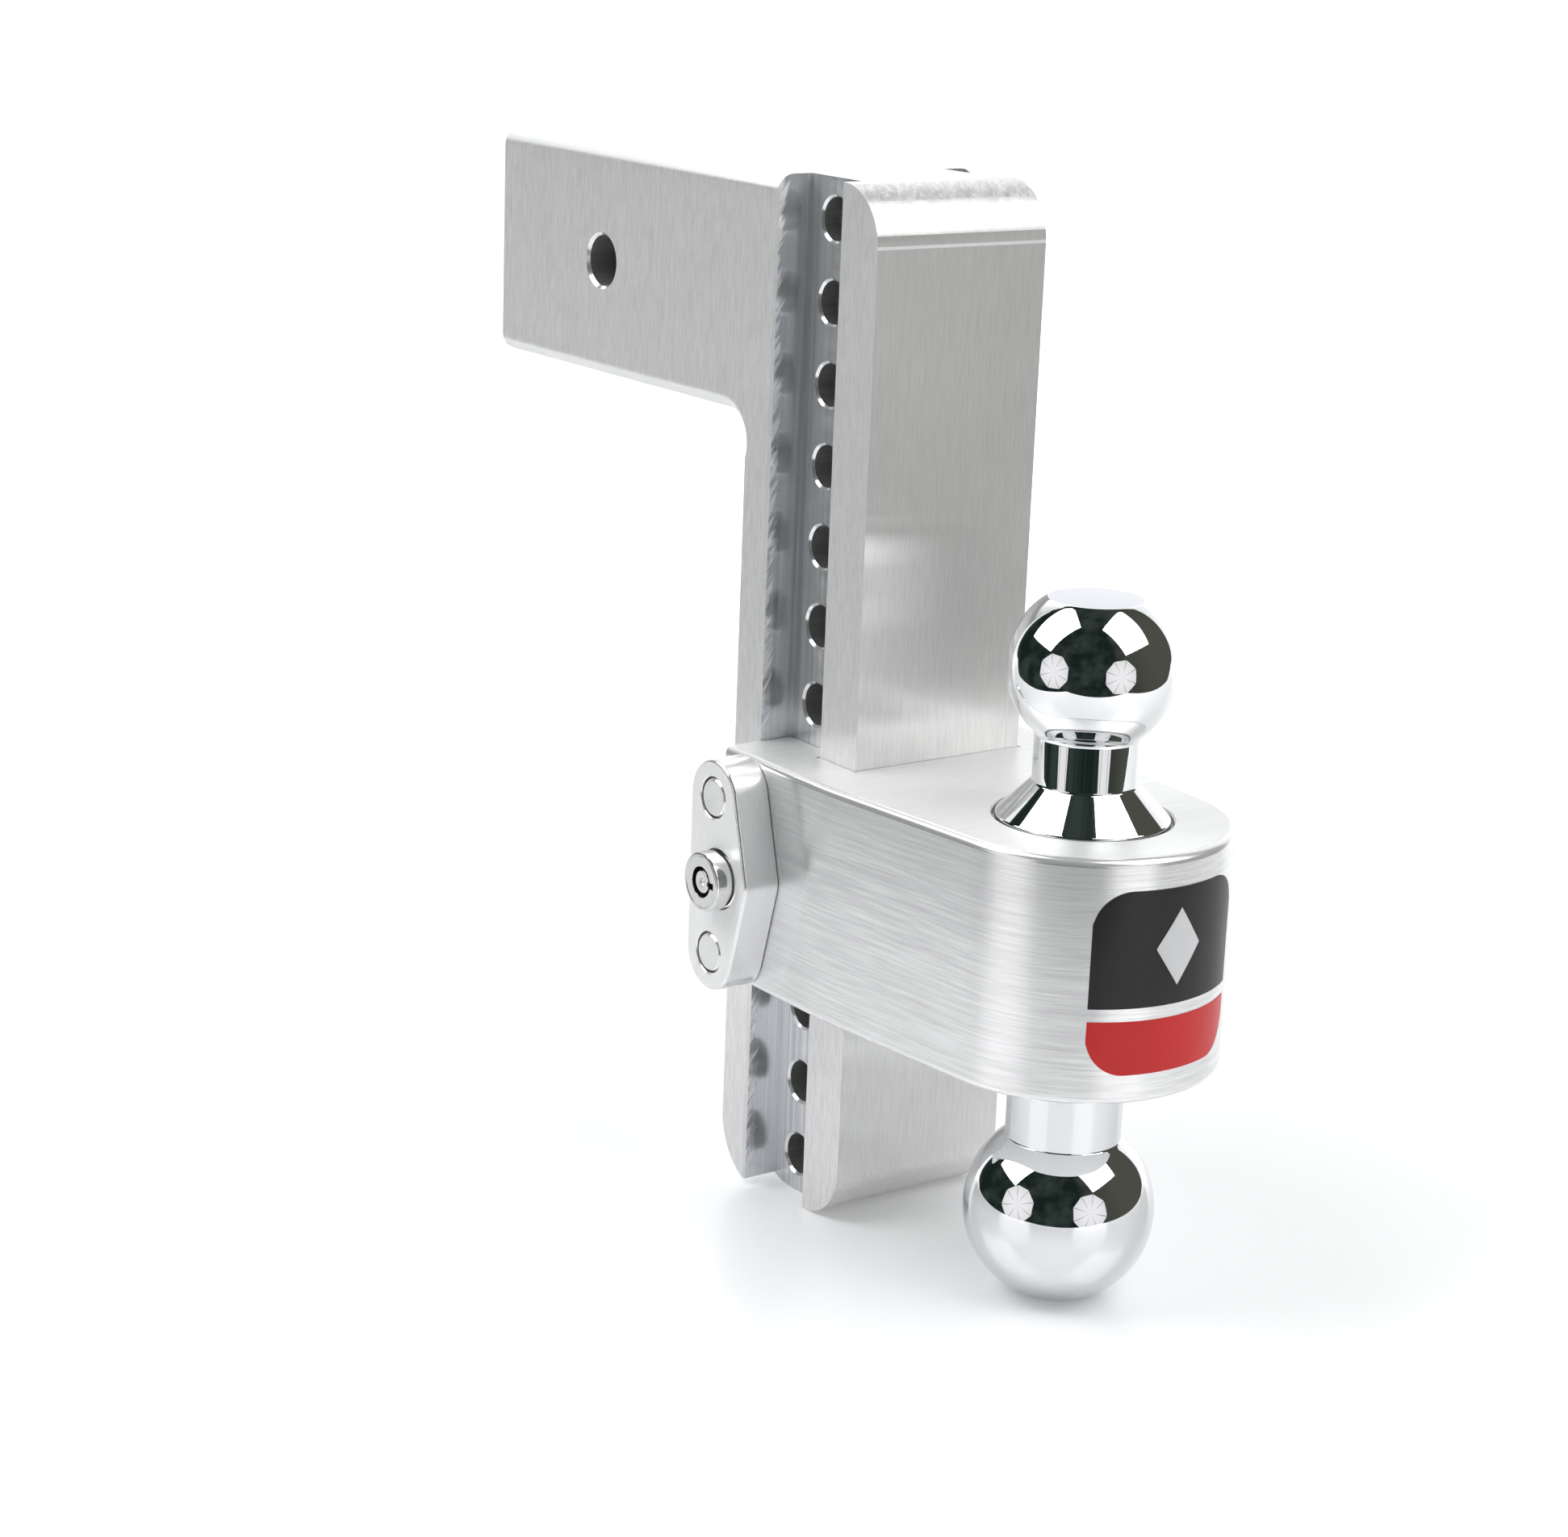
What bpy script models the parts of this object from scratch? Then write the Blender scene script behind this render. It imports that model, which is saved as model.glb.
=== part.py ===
"""Adjustable drop hitch: a drawbar with a slotted rail, a pinned ball mount carrying two balls,
and a plate with two lock pins and a tubular key lock.

Frame: metres, +Z up, +X along the shank from the receiver end towards the balls. The origin is
the centre of the shank's end face. The lock plate is on the -Y side. Lengths below are millimetres.
"""
import math

import bmesh
import bpy
from mathutils import Vector

MM = 0.001

# drawbar: shank, rail and its holes
SHANK = 76.2            # square shank, 3 in receiver size
SHANK_ROUND = 5.8       # round on the shank's long edges
RAIL_FRONT = 206.4      # X of the rail's front face
RAIL_BACK = 149.6       # X of the rail's back face
CHANNEL_X = (162.6, 188.0)  # side channels in the rail, between rear wall and front flange
RAIL_HEIGHT = 330.2
FLANGE_HALF = 32.25     # half width of the front flange
WEB_HALF = 25.4         # half width of the web between the channels
LIP_CHAMFER = 0.8       # chamfer where the side faces meet the channels' rear walls
NOSE_ROUND = 18.4       # rounds at the front flange's top and bottom
HEEL_ROUND = 22.0       # round at the rail's rear foot
ELBOW_ROUND = 13.0      # inner round between shank and rail
HOLE_PITCH = 25.4
HOLE_COUNT = 13
HOLE_X = 175.3
HOLE_R = 6.7
HITCH_PIN_X = 63.0
HITCH_PIN_R = 8.35

# ball mount block
MOUNT_Z = 25.4 - 8 * HOLE_PITCH   # centred on the ninth hole
MOUNT_HALF_H = 37.5
MOUNT_HALF_W = 50.8
MOUNT_BACK = CHANNEL_X[0] + 0.3
TAPER_X = 216.9         # where the sides start to taper
BALL_X = 277.0          # ball axis
MOUNT_NOSE_R = 45.5
GAP = 0.3               # clearance between fitted pieces
MOUNT_EDGE = 2.6

# balls
BALL_UP_R, BALL_UP_Z = 25.4, -95.1        # 2 in ball
BALL_LO_R, BALL_LO_Z = 29.37, -265.2      # 2-5/16 in ball
NECK_UP_R, NECK_LO_R = 15.9, 17.7
FLAT_UP_R = 14.45
FLARE_R = 26.3

# lock pins and plate
PIN_R = 6.35
PIN_END_Y = 49.4
PLATE_Y = (-63.7, -51.0)
PLATE_END_R = 12.2
PLATE_SIDE = (184.4, 10.0)   # X and radius of the round corner at the plate's side
LOCK_X = 179.4
LOCK_FACE_Y = -70.1
TUMBLER_CIRCLE = 4.3
TUMBLER_R = 0.6
KEY_PIN_FRONTS = (-65.2, -66.1, -64.9, -65.8, -66.4, -65.4, -66.0)

TOP = SHANK / 2
FOOT = TOP - RAIL_HEIGHT

for old in list(bpy.data.objects):
    bpy.data.objects.remove(old, do_unlink=True)


def material(name, colour, metallic, roughness):
    mat = bpy.data.materials.new(name)
    mat.use_nodes = True
    shader = mat.node_tree.nodes["Principled BSDF"]
    shader.inputs["Base Color"].default_value = (*colour, 1.0)
    shader.inputs["Metallic"].default_value = metallic
    shader.inputs["Roughness"].default_value = roughness
    mat.diffuse_color = (*colour, 1.0)
    return mat


BRUSHED = ((0.78, 0.79, 0.80), 1.0, 0.32)
CHROME = ((0.88, 0.89, 0.90), 1.0, 0.05)
STEEL = ((0.62, 0.63, 0.65), 1.0, 0.25)
BRASS = ((0.80, 0.62, 0.30), 1.0, 0.30)


def add_mesh(name, verts, faces, look, origin=(0, 0, 0)):
    """An object from points in millimetres, with outward normals and its origin at origin."""
    shift = Vector(origin)
    mesh = bpy.data.meshes.new(name)
    bm = bmesh.new()
    points = [bm.verts.new((Vector(v) - shift) * MM) for v in verts]
    for face in faces:
        bm.faces.new([points[i] for i in face])
    bmesh.ops.recalc_face_normals(bm, faces=bm.faces)
    if bm.calc_volume(signed=True) < 0:
        bmesh.ops.reverse_faces(bm, faces=bm.faces)
    bm.to_mesh(mesh)
    bm.free()
    obj = bpy.data.objects.new(name, mesh)
    obj.location = shift * MM
    bpy.context.scene.collection.objects.link(obj)
    if look is not None:
        mesh.materials.append(material(name + "_finish", *look))
    return obj


def lathe_data(profile, axis, centre, segments, turn=0.0):
    """Points and faces of a closed profile of (radius, station) turned about the Y or Z axis."""
    verts, rings = [], []
    for radius, station in profile:
        if radius < 1e-6:
            rings.append([len(verts)] * segments)
            angles = [0.0]
        else:
            rings.append([len(verts) + k for k in range(segments)])
            angles = [turn + math.tau * k / segments for k in range(segments)]
        for a in angles:
            u, v = radius * math.cos(a), radius * math.sin(a)
            if axis == "Z":
                verts.append((centre[0] + u, centre[1] + v, station))
            else:
                verts.append((centre[0] + u, station, centre[1] + v))
    faces = []
    for i in range(len(profile)):
        a, b = rings[i], rings[(i + 1) % len(profile)]
        for k in range(segments):
            n = (k + 1) % segments
            ring = []
            for index in (a[k], a[n], b[n], b[k]):
                if index not in ring:
                    ring.append(index)
            if len(ring) > 2:
                faces.append(ring)
    return verts, faces


def merge(*pieces):
    """Several separate closed shells as one set of points and faces."""
    verts, faces = [], []
    for points, polygons in pieces:
        base = len(verts)
        verts += points
        faces += [[i + base for i in polygon] for polygon in polygons]
    return verts, faces


def loft_data(levels, place):
    """A closed solid through outlines of equal length; place turns (a, b, level) into a point."""
    verts = [place(a, b, level) for outline, level in levels for a, b in outline]
    n = len(levels[0][0])
    faces = [list(range(n))[::-1], [n * (len(levels) - 1) + k for k in range(n)]]
    for i in range(len(levels) - 1):
        for k in range(n):
            m = (k + 1) % n
            faces.append([i * n + k, i * n + m, (i + 1) * n + m, (i + 1) * n + k])
    return verts, faces


def arc(cx, cy, radius, start, end, count):
    """Points on an arc, degrees, both ends included."""
    return [(cx + radius * math.cos(math.radians(start + (end - start) * k / count)),
             cy + radius * math.sin(math.radians(start + (end - start) * k / count)))
            for k in range(count + 1)]


def inward(outline):
    """Unit offset directions towards the inside of a counter-clockwise outline."""
    result = []
    for k, here in enumerate(outline):
        before, after = Vector(outline[k - 1]), Vector(outline[(k + 1) % len(outline)])
        e1 = (Vector(here) - before).normalized()
        e2 = (after - Vector(here)).normalized()
        n = Vector((-e1.y, e1.x)) + Vector((-e2.y, e2.x))
        n.normalize()
        result.append(n / max(0.4, n.dot(Vector((-e1.y, e1.x)))))
    return result


def inset(outline, directions, amounts):
    return [(p[0] + d.x * a, p[1] + d.y * a) for p, d, a in zip(outline, directions, amounts)]


def hull(points):
    """Convex outline, counter-clockwise."""
    points = sorted(set((round(x, 5), round(y, 5)) for x, y in points))

    def half(sequence):
        chain = []
        for p in sequence:
            while len(chain) > 1 and ((chain[-1][0] - chain[-2][0]) * (p[1] - chain[-2][1])
                                      - (chain[-1][1] - chain[-2][1]) * (p[0] - chain[-2][0])) <= 1e-9:
                chain.pop()
            chain.append(p)
        return chain[:-1]

    return half(points) + half(points[::-1])


def cut(target, name, data):
    """Takes the shells in data away from target with a Boolean, and hides the tool."""
    tool = add_mesh(name, data[0], data[1], None)
    tool.hide_render = True
    tool.display_type = "WIRE"
    boolean = target.modifiers.new(name, "BOOLEAN")
    boolean.operation = "DIFFERENCE"
    boolean.solver = "EXACT"
    boolean.object = tool


def box_data(x, y, z):
    outline = [(x[0], y[0]), (x[1], y[0]), (x[1], y[1]), (x[0], y[1])]
    return loft_data([(outline, z[0]), (outline, z[1])], lambda a, b, t: (a, b, t))


def side_place(a, b, t):
    return (a, t, b)


def plan_place(a, b, t):
    return (a, b, t)


# ---------------------------------------------------------------- drawbar
outline = [(0.0, -TOP)]
weights = [1.0]
elbow = arc(RAIL_BACK - ELBOW_ROUND, -TOP - ELBOW_ROUND, ELBOW_ROUND, 90, 0, 8)
outline += elbow
weights += [1.0 - (k / 8) ** 1.4 for k in range(9)]
heel = arc(RAIL_BACK + HEEL_ROUND, FOOT + HEEL_ROUND, HEEL_ROUND, 180, 270, 8)
toe = arc(RAIL_FRONT - NOSE_ROUND, FOOT + NOSE_ROUND, NOSE_ROUND, 270, 360, 10)
brow = arc(RAIL_FRONT - NOSE_ROUND, TOP - NOSE_ROUND, NOSE_ROUND, 0, 90, 10)
outline += heel + toe + brow + [(HOLE_X, TOP), (HOLE_X - 8, TOP), (0.0, TOP)]
weights += [0.0] * (len(heel) + len(toe) + len(brow)) + [0.0, 1.0, 1.0]
normals = [Vector((0, 1)) if z < 0 else Vector((0, -1)) for x, z in outline]
for k in range(9):
    turn = math.radians(90 - 90 * k / 8)
    normals[k + 1] = Vector((math.cos(turn), math.sin(turn)))
levels = []
for side in (-1, 1):
    for step in range(7):
        angle = math.radians(90 * (step if side < 0 else 6 - step) / 6)
        y = side * (SHANK / 2 - SHANK_ROUND * (1 - math.cos(angle)))
        amounts = [w * SHANK_ROUND * (1 - math.sin(angle)) for w in weights]
        levels.append((inset(outline, normals, amounts), y))
drawbar = add_mesh("drawbar", *loft_data(levels, side_place), BRUSHED)

channels = []
for side in (-1, 1):
    plan = [(CHANNEL_X[0], WEB_HALF), (CHANNEL_X[1], WEB_HALF), (CHANNEL_X[1], FLANGE_HALF),
            (RAIL_FRONT + 20, FLANGE_HALF), (RAIL_FRONT + 20, 60.0), (CHANNEL_X[0] - LIP_CHAMFER, 60.0),
            (CHANNEL_X[0] - LIP_CHAMFER, SHANK / 2), (CHANNEL_X[0], SHANK / 2 - LIP_CHAMFER)]
    plan = [(x, side * y) for x, y in plan]
    if side < 0:
        plan.reverse()
    channels.append(loft_data([(plan, FOOT - 10), (plan, TOP + 10)], plan_place))
cut(drawbar, "cut_channels", merge(*channels))


def cross_hole(x, z, radius, half, chamfer, segments):
    """A drill along Y with a countersink at each face, half is the wall's half width."""
    wide = radius + chamfer + 1.6
    profile = [(0, -half - 1.6), (wide, -half - 1.6), (radius, -half + chamfer),
               (radius, half - chamfer), (wide, half + 1.6), (0, half + 1.6)]
    return lathe_data(profile, "Y", (x, z), segments)


cut(drawbar, "cut_rail_holes", merge(*[cross_hole(HOLE_X, 25.4 - k * HOLE_PITCH, HOLE_R, WEB_HALF, 0.75, 28)
                                       for k in range(HOLE_COUNT)]))
cut(drawbar, "cut_hitch_pin_hole", cross_hole(HITCH_PIN_X, 0.0, HITCH_PIN_R, SHANK / 2, 1.0, 40))

# ---------------------------------------------------------------- ball mount block
tangent = math.degrees(math.atan2(MOUNT_HALF_W, TAPER_X - BALL_X)
                       - math.acos(MOUNT_NOSE_R / math.hypot(TAPER_X - BALL_X, MOUNT_HALF_W)))
NOSE_FACETS = 34
nose = arc(BALL_X, 0.0, MOUNT_NOSE_R, -tangent, tangent, NOSE_FACETS)
slot_x = (CHANNEL_X[1] - GAP, RAIL_FRONT + GAP)
slot_y = (WEB_HALF + GAP, FLANGE_HALF + GAP)
RELIEF = 1.5


def relief(x, y, start, sweep):
    """A round relief at a slot corner, cut into the block."""
    return arc(x, y, RELIEF, start, start + sweep, 8)


outer = ([(MOUNT_BACK, -MOUNT_HALF_W), (TAPER_X, -MOUNT_HALF_W)] + nose
         + [(TAPER_X, MOUNT_HALF_W), (MOUNT_BACK, MOUNT_HALF_W)])
inner = [(MOUNT_BACK, slot_y[0]), (slot_x[0], slot_y[0])]
inner += relief(slot_x[0], slot_y[1], 270, -270)
inner += relief(slot_x[1], slot_y[1], 180, -270)
inner += relief(slot_x[1], -slot_y[1], 90, -270)
inner += relief(slot_x[0], -slot_y[1], 0, -270)
inner += [(slot_x[0], -slot_y[0]), (MOUNT_BACK, -slot_y[0])]
plan = outer + inner
edge = [0.75, 0.8] + [0.8 + 0.4 * math.sin(math.pi * k / NOSE_FACETS) for k in range(NOSE_FACETS + 1)] \
    + [0.8, 0.75] + [0.0] * len(inner)
toward = inward(plan)
toward[0] = Vector((0, 1))
toward[len(outer) - 1] = Vector((0, -1))
levels = []
for side in (-1, 1):
    for step in range(6):
        angle = math.radians(90 * (step if side < 0 else 5 - step) / 5)
        z = MOUNT_Z + side * (MOUNT_HALF_H - MOUNT_EDGE * (1 - math.cos(angle)))
        amounts = [w * MOUNT_EDGE * (1 - math.sin(angle)) for w in edge]
        levels.append((inset(plan, toward, amounts), z))
ball_mount = add_mesh("ball_mount", *loft_data(levels, plan_place), BRUSHED)

top_z, bottom_z = MOUNT_Z + MOUNT_HALF_H, MOUNT_Z - MOUNT_HALF_H
bore_r, recess_r = NECK_LO_R + GAP, FLARE_R + 0.9
RECESS = 2.6
ball_bore = lathe_data([(0, bottom_z - 3), (bore_r + 3.6, bottom_z - 3), (bore_r, bottom_z + 0.6),
                        (bore_r, top_z - RECESS), (recess_r, top_z - RECESS), (recess_r, top_z - 0.5),
                        (recess_r + 3.5, top_z + 3), (0, top_z + 3)], "Z", (BALL_X, 0.0), 48)
pin_bores = [cross_hole(HOLE_X, MOUNT_Z + s * HOLE_PITCH, PIN_R + GAP, MOUNT_HALF_W, 0.6, 28) for s in (-1, 1)]
POCKET_R, POCKET_END = 13.0, -35.0
pocket = lathe_data([(0, -MOUNT_HALF_W - 2), (POCKET_R, -MOUNT_HALF_W - 2), (POCKET_R, POCKET_END),
                     (0, POCKET_END)], "Y", (LOCK_X, MOUNT_Z), 40)
cut(ball_mount, "cut_mount_bores", merge(ball_bore, *pin_bores, pocket))


# ---------------------------------------------------------------- balls and their stud
def ball_profile(radius, centre, start, end, count):
    """Points down a sphere between two polar angles from straight up, in degrees."""
    return [(radius * math.sin(math.radians(start + (end - start) * k / count)),
             centre + radius * math.cos(math.radians(start + (end - start) * k / count)))
            for k in range(count + 1)]


BALL_SEGMENTS = 48
top_angle = math.degrees(math.asin(FLAT_UP_R / BALL_UP_R))
neck_angle = 180 - math.degrees(math.asin((NECK_UP_R + 0.9) / BALL_UP_R))
flat_z = BALL_UP_Z + BALL_UP_R * math.cos(math.radians(top_angle))
neck_z = BALL_UP_Z + BALL_UP_R * math.cos(math.radians(neck_angle))
STUD_R = 10.0
profile = [(0, flat_z)] + ball_profile(BALL_UP_R, BALL_UP_Z, top_angle, neck_angle, 18)
profile += [(NECK_UP_R + 0.25, neck_z - 0.35), (NECK_UP_R, neck_z - 1.2), (NECK_UP_R, -129.6),
            (NECK_UP_R + 0.25, -129.9), (FLARE_R - 0.3, top_z + 0.2), (FLARE_R, top_z - 0.3),
            (FLARE_R, top_z - RECESS + GAP), (NECK_LO_R - 0.1, top_z - RECESS + GAP),
            (NECK_LO_R - 0.1, -158.0), (STUD_R + GAP, -158.0), (STUD_R + GAP, -133.0), (0, -133.0)]
add_mesh("upper_ball", *lathe_data(profile, "Z", (BALL_X, 0.0), BALL_SEGMENTS), CHROME)

flat_r = math.sqrt(BALL_LO_R ** 2 - (BALL_LO_Z - FOOT) ** 2)
low_angle = 180 - math.degrees(math.asin(flat_r / BALL_LO_R))
join_angle = math.degrees(math.asin((NECK_LO_R + 0.5) / BALL_LO_R))
join_z = BALL_LO_Z + BALL_LO_R * math.cos(math.radians(join_angle))
profile = [(0, -226.0), (STUD_R + GAP, -226.0), (STUD_R + GAP, -195.0), (NECK_LO_R - 0.8, -195.0),
           (NECK_LO_R, -195.8), (NECK_LO_R, join_z + 0.7)]
profile += ball_profile(BALL_LO_R, BALL_LO_Z, join_angle, low_angle, 19) + [(0, FOOT)]
add_mesh("lower_ball", *lathe_data(profile, "Z", (BALL_X, 0.0), BALL_SEGMENTS), CHROME)

profile = [(0, -225.4), (STUD_R - 1, -225.4), (STUD_R, -224.4), (STUD_R, -134.4), (STUD_R - 1, -133.4), (0, -133.4)]
add_mesh("ball_stud", *lathe_data(profile, "Z", (BALL_X, 0.0), 32), STEEL)

# ---------------------------------------------------------------- lock pins and plate
face_y, back_y = PLATE_Y
circles = [(HOLE_X, MOUNT_Z + HOLE_PITCH, PLATE_END_R), (HOLE_X, MOUNT_Z - HOLE_PITCH, PLATE_END_R),
           (PLATE_SIDE[0], MOUNT_Z, PLATE_SIDE[1])]
diamond = hull([p for x, z, r in circles for p in arc(x, z, r, 0, 360, 72)])
toward = inward(diamond)
n = len(diamond)
levels = [(inset(diamond, toward, [0.4] * n), back_y), (diamond, back_y - 0.4), (diamond, face_y + 0.9),
          (inset(diamond, toward, [0.9] * n), face_y)]
pin_plate = add_mesh("pin_plate", *loft_data(levels, side_place), BRUSHED)
SHELL_R, SHELL_REAR_R = 9.5, 7.5
shoulder_y = face_y + 4.3
plate_tools = [lathe_data([(0, face_y - 2), (SHELL_R + GAP, face_y - 2), (SHELL_R + GAP, shoulder_y),
                           (SHELL_REAR_R + GAP, shoulder_y), (SHELL_REAR_R + GAP, back_y + 2), (0, back_y + 2)],
                          "Y", (LOCK_X, MOUNT_Z), 40)]
for s in (-1, 1):
    r = PIN_R + 0.2
    plate_tools.append(lathe_data([(0, face_y - 1), (r + 1.4, face_y - 1), (r, face_y + 0.4), (r, back_y + 1),
                                   (0, back_y + 1)], "Y", (HOLE_X, MOUNT_Z + s * HOLE_PITCH), 32))
cut(pin_plate, "cut_plate_holes", merge(*plate_tools))

for name, s in (("upper_lock_pin", 1), ("lower_lock_pin", -1)):
    profile = [(0, face_y + 0.15), (PIN_R - 0.7, face_y + 0.15), (PIN_R, face_y + 0.85), (PIN_R, PIN_END_Y - 2.2),
               (PIN_R - 1.9, PIN_END_Y), (0, PIN_END_Y)]
    z = MOUNT_Z + s * HOLE_PITCH
    add_mesh(name, *lathe_data(profile, "Y", (HOLE_X, z), 32), STEEL, (HOLE_X, face_y, z))

# ---------------------------------------------------------------- tubular key lock
HERE = (LOCK_X, MOUNT_Z)
AT_LOCK = (LOCK_X, LOCK_FACE_Y, MOUNT_Z)
f = LOCK_FACE_Y
profile = [(4.95, f), (8.05, f), (8.15, f + 0.25), (8.35, f + 0.25), (8.45, f), (9.0, f), (SHELL_R, f + 0.5),
           (SHELL_R, f + 2.9), (SHELL_R - 0.3, f + 3.05), (SHELL_R - 0.3, f + 3.35), (SHELL_R, f + 3.5),
           (SHELL_R, shoulder_y - GAP), (SHELL_REAR_R, shoulder_y - GAP), (SHELL_REAR_R, -43.2),
           (5.9, -43.2), (5.9, f + 3.2), (4.95, f + 3.2)]
lock_shell = add_mesh("lock_shell", *lathe_data(profile, "Y", HERE, 48), CHROME, AT_LOCK)
cut(lock_shell, "cut_shell_notch", box_data((LOCK_X + 4.2, LOCK_X + 6.4), (f - 2, f + 3.9),
                                            (MOUNT_Z - 0.95, MOUNT_Z + 0.95)))

front, shear, spindle_end, tip_end = -64.0, -56.3, -42.7, -40.5
profile = [(0, f + 0.6), (0.55, f + 0.6), (0.75, f + 1.0), (1.35, f + 1.0), (1.35, f + 0.4), (3.45, f + 0.4),
           (3.85, f + 0.8), (3.85, front), (5.55, front), (5.55, shear), (2.3, shear), (2.3, spindle_end),
           (1.6, spindle_end), (1.6, tip_end), (0.95, tip_end), (0.95, -45.5), (0, -45.5)]
lock_rotor = add_mesh("lock_rotor", *lathe_data(profile, "Y", HERE, 40), STEEL, AT_LOCK)


def tumbler_at(k):
    """Centre of tumbler k; the eighth place, at the notch, has none."""
    a = math.radians(45 * (k + 1))
    return LOCK_X + TUMBLER_CIRCLE * math.cos(a), MOUNT_Z + TUMBLER_CIRCLE * math.sin(a)


def rod(centre, radius, y0, y1, segments=10):
    return lathe_data([(0, y0), (radius, y0), (radius, y1), (0, y1)], "Y", centre, segments, 0.1)


HOLE = TUMBLER_R + 0.22
cut(lock_rotor, "cut_rotor_holes", merge(*[rod(tumbler_at(k), HOLE, f - 1, shear + 0.5) for k in range(7)],
                                         box_data((LOCK_X + 2.9, LOCK_X + 4.6), (f - 1, front - 0.3),
                                                  (MOUNT_Z - 0.8, MOUNT_Z + 0.8))))
profile = [(2.6, -55.9), (5.6, -55.9), (5.6, -43.5), (2.6, -43.5)]
lock_sleeve = add_mesh("lock_sleeve", *lathe_data(profile, "Y", HERE, 32), BRASS, AT_LOCK)
cut(lock_sleeve, "cut_sleeve_holes", merge(*[rod(tumbler_at(k), HOLE, -57.0, -47.0) for k in range(7)]))


def spring_data(centre, y0, y1, coil, wire, turns, steps, sides):
    """A round-wire helix along Y as one closed tube."""
    count = turns * steps
    verts, faces = [], []
    for i in range(count + 1):
        a = math.tau * i / steps
        y = y0 + (y1 - y0) * i / count
        for j in range(sides):
            b = math.tau * j / sides
            r = coil + wire * math.cos(b)
            verts.append((centre[0] + r * math.cos(a), y + wire * math.sin(b), centre[1] + r * math.sin(a)))
    for i in range(count):
        for j in range(sides):
            m = (j + 1) % sides
            faces.append([i * sides + j, i * sides + m, (i + 1) * sides + m, (i + 1) * sides + j])
    faces.append(list(range(sides)))
    faces.append([count * sides + j for j in range(sides)][::-1])
    return verts, faces


for k in range(7):
    spot = tumbler_at(k)
    add_mesh(f"key_pin_{k + 1}", *rod(spot, TUMBLER_R, KEY_PIN_FRONTS[k], -56.2), BRASS, (spot[0], -56.2, spot[1]))
    add_mesh(f"driver_pin_{k + 1}", *rod(spot, TUMBLER_R, -55.8, -51.6), STEEL, (spot[0], -55.8, spot[1]))
    add_mesh(f"tumbler_spring_{k + 1}", *spring_data(spot, -51.2, -47.3, 0.46, 0.11, 4, 8, 4), STEEL,
             (spot[0], -47.2, spot[1]))

hexagon = [(LOCK_X + 10.9 * math.cos(math.radians(30 + 60 * k)), MOUNT_Z + 10.9 * math.sin(math.radians(30 + 60 * k)))
           for k in range(6)]
toward = inward(hexagon)
levels = [(inset(hexagon, toward, [0.6] * 6), -50.6), (hexagon, -50.0), (hexagon, -48.0),
          (inset(hexagon, toward, [0.6] * 6), -47.4)]
lock_nut = add_mesh("lock_nut", *loft_data(levels, side_place), STEEL, AT_LOCK)
cut(lock_nut, "cut_nut_bore", lathe_data([(0, -52), (SHELL_REAR_R + GAP, -52), (SHELL_REAR_R + GAP, -46), (0, -46)],
                                         "Y", HERE, 40))

lobe = hull([(LOCK_X + x, MOUNT_Z + z) for x, z in arc(0, 0, 4.4, 0, 360, 40) + arc(0, 8.3, 2.2, 0, 360, 24)])
lock_cam = add_mesh("lock_cam", *loft_data([(lobe, -42.4), (lobe, -40.8)], side_place), STEEL, AT_LOCK)
cut(lock_cam, "cut_cam_bore", rod(HERE, 1.9, -44.0, -39.0, 24))
profile = [(0, -44.9), (0.7, -44.9), (0.7, -40.2), (2.7, -40.2), (2.8, -40.1), (2.8, -38.9), (2.5, -38.6), (0, -38.6)]
cam_screw = add_mesh("cam_screw", *lathe_data(profile, "Y", HERE, 24), STEEL, AT_LOCK)
socket = lathe_data([(0, -39.7), (1.25, -39.7), (1.25, -38.0), (0, -38.0)], "Y", HERE, 6)
cut(cam_screw, "cut_screw_socket", socket)


# ---------------------------------------------------------------- front label on the block's nose
def nose_radius(angle):
    """Distance from the ball axis to the block's faceted nose at an angle in degrees."""
    step = 2 * tangent / NOSE_FACETS
    middle = (math.floor((angle + tangent) / step) + 0.5) * step - tangent
    return MOUNT_NOSE_R * math.cos(math.radians(step / 2)) / math.cos(math.radians(angle - middle))


def label(name, columns, low, high, lift, thick, look):
    """A thin curved plate on the nose; low and high give its Z limits at each column's angle."""
    verts, faces = [], []
    for angle in columns:
        inside = nose_radius(angle) + lift
        c, s = math.cos(math.radians(angle)), math.sin(math.radians(angle))
        for r in (inside, inside + thick):
            for z in (low(angle), high(angle)):
                verts.append((BALL_X + r * c, r * s, z))
    for i in range(len(columns) - 1):
        a, b = 4 * i, 4 * i + 4
        for p, q in ((0, 1), (1, 3), (3, 2), (2, 0)):
            faces.append([a + p, a + q, b + q, b + p])
    last = 4 * (len(columns) - 1)
    faces += [[0, 1, 3, 2], [last, last + 2, last + 3, last + 1]]
    return add_mesh(name, verts, faces, look)


STEP = 2 * tangent / NOSE_FACETS / 2
SPAN = 14 * STEP


def corner_drop(angle, radius):
    """How far a rounded corner pulls the label's edge in at an angle from its middle."""
    reach = math.radians(abs(angle)) * MOUNT_NOSE_R - (math.radians(SPAN) * MOUNT_NOSE_R - radius)
    return 0.0 if reach <= 0 else radius - math.sqrt(max(0.0, radius * radius - min(reach, radius * 0.985) ** 2))


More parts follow.
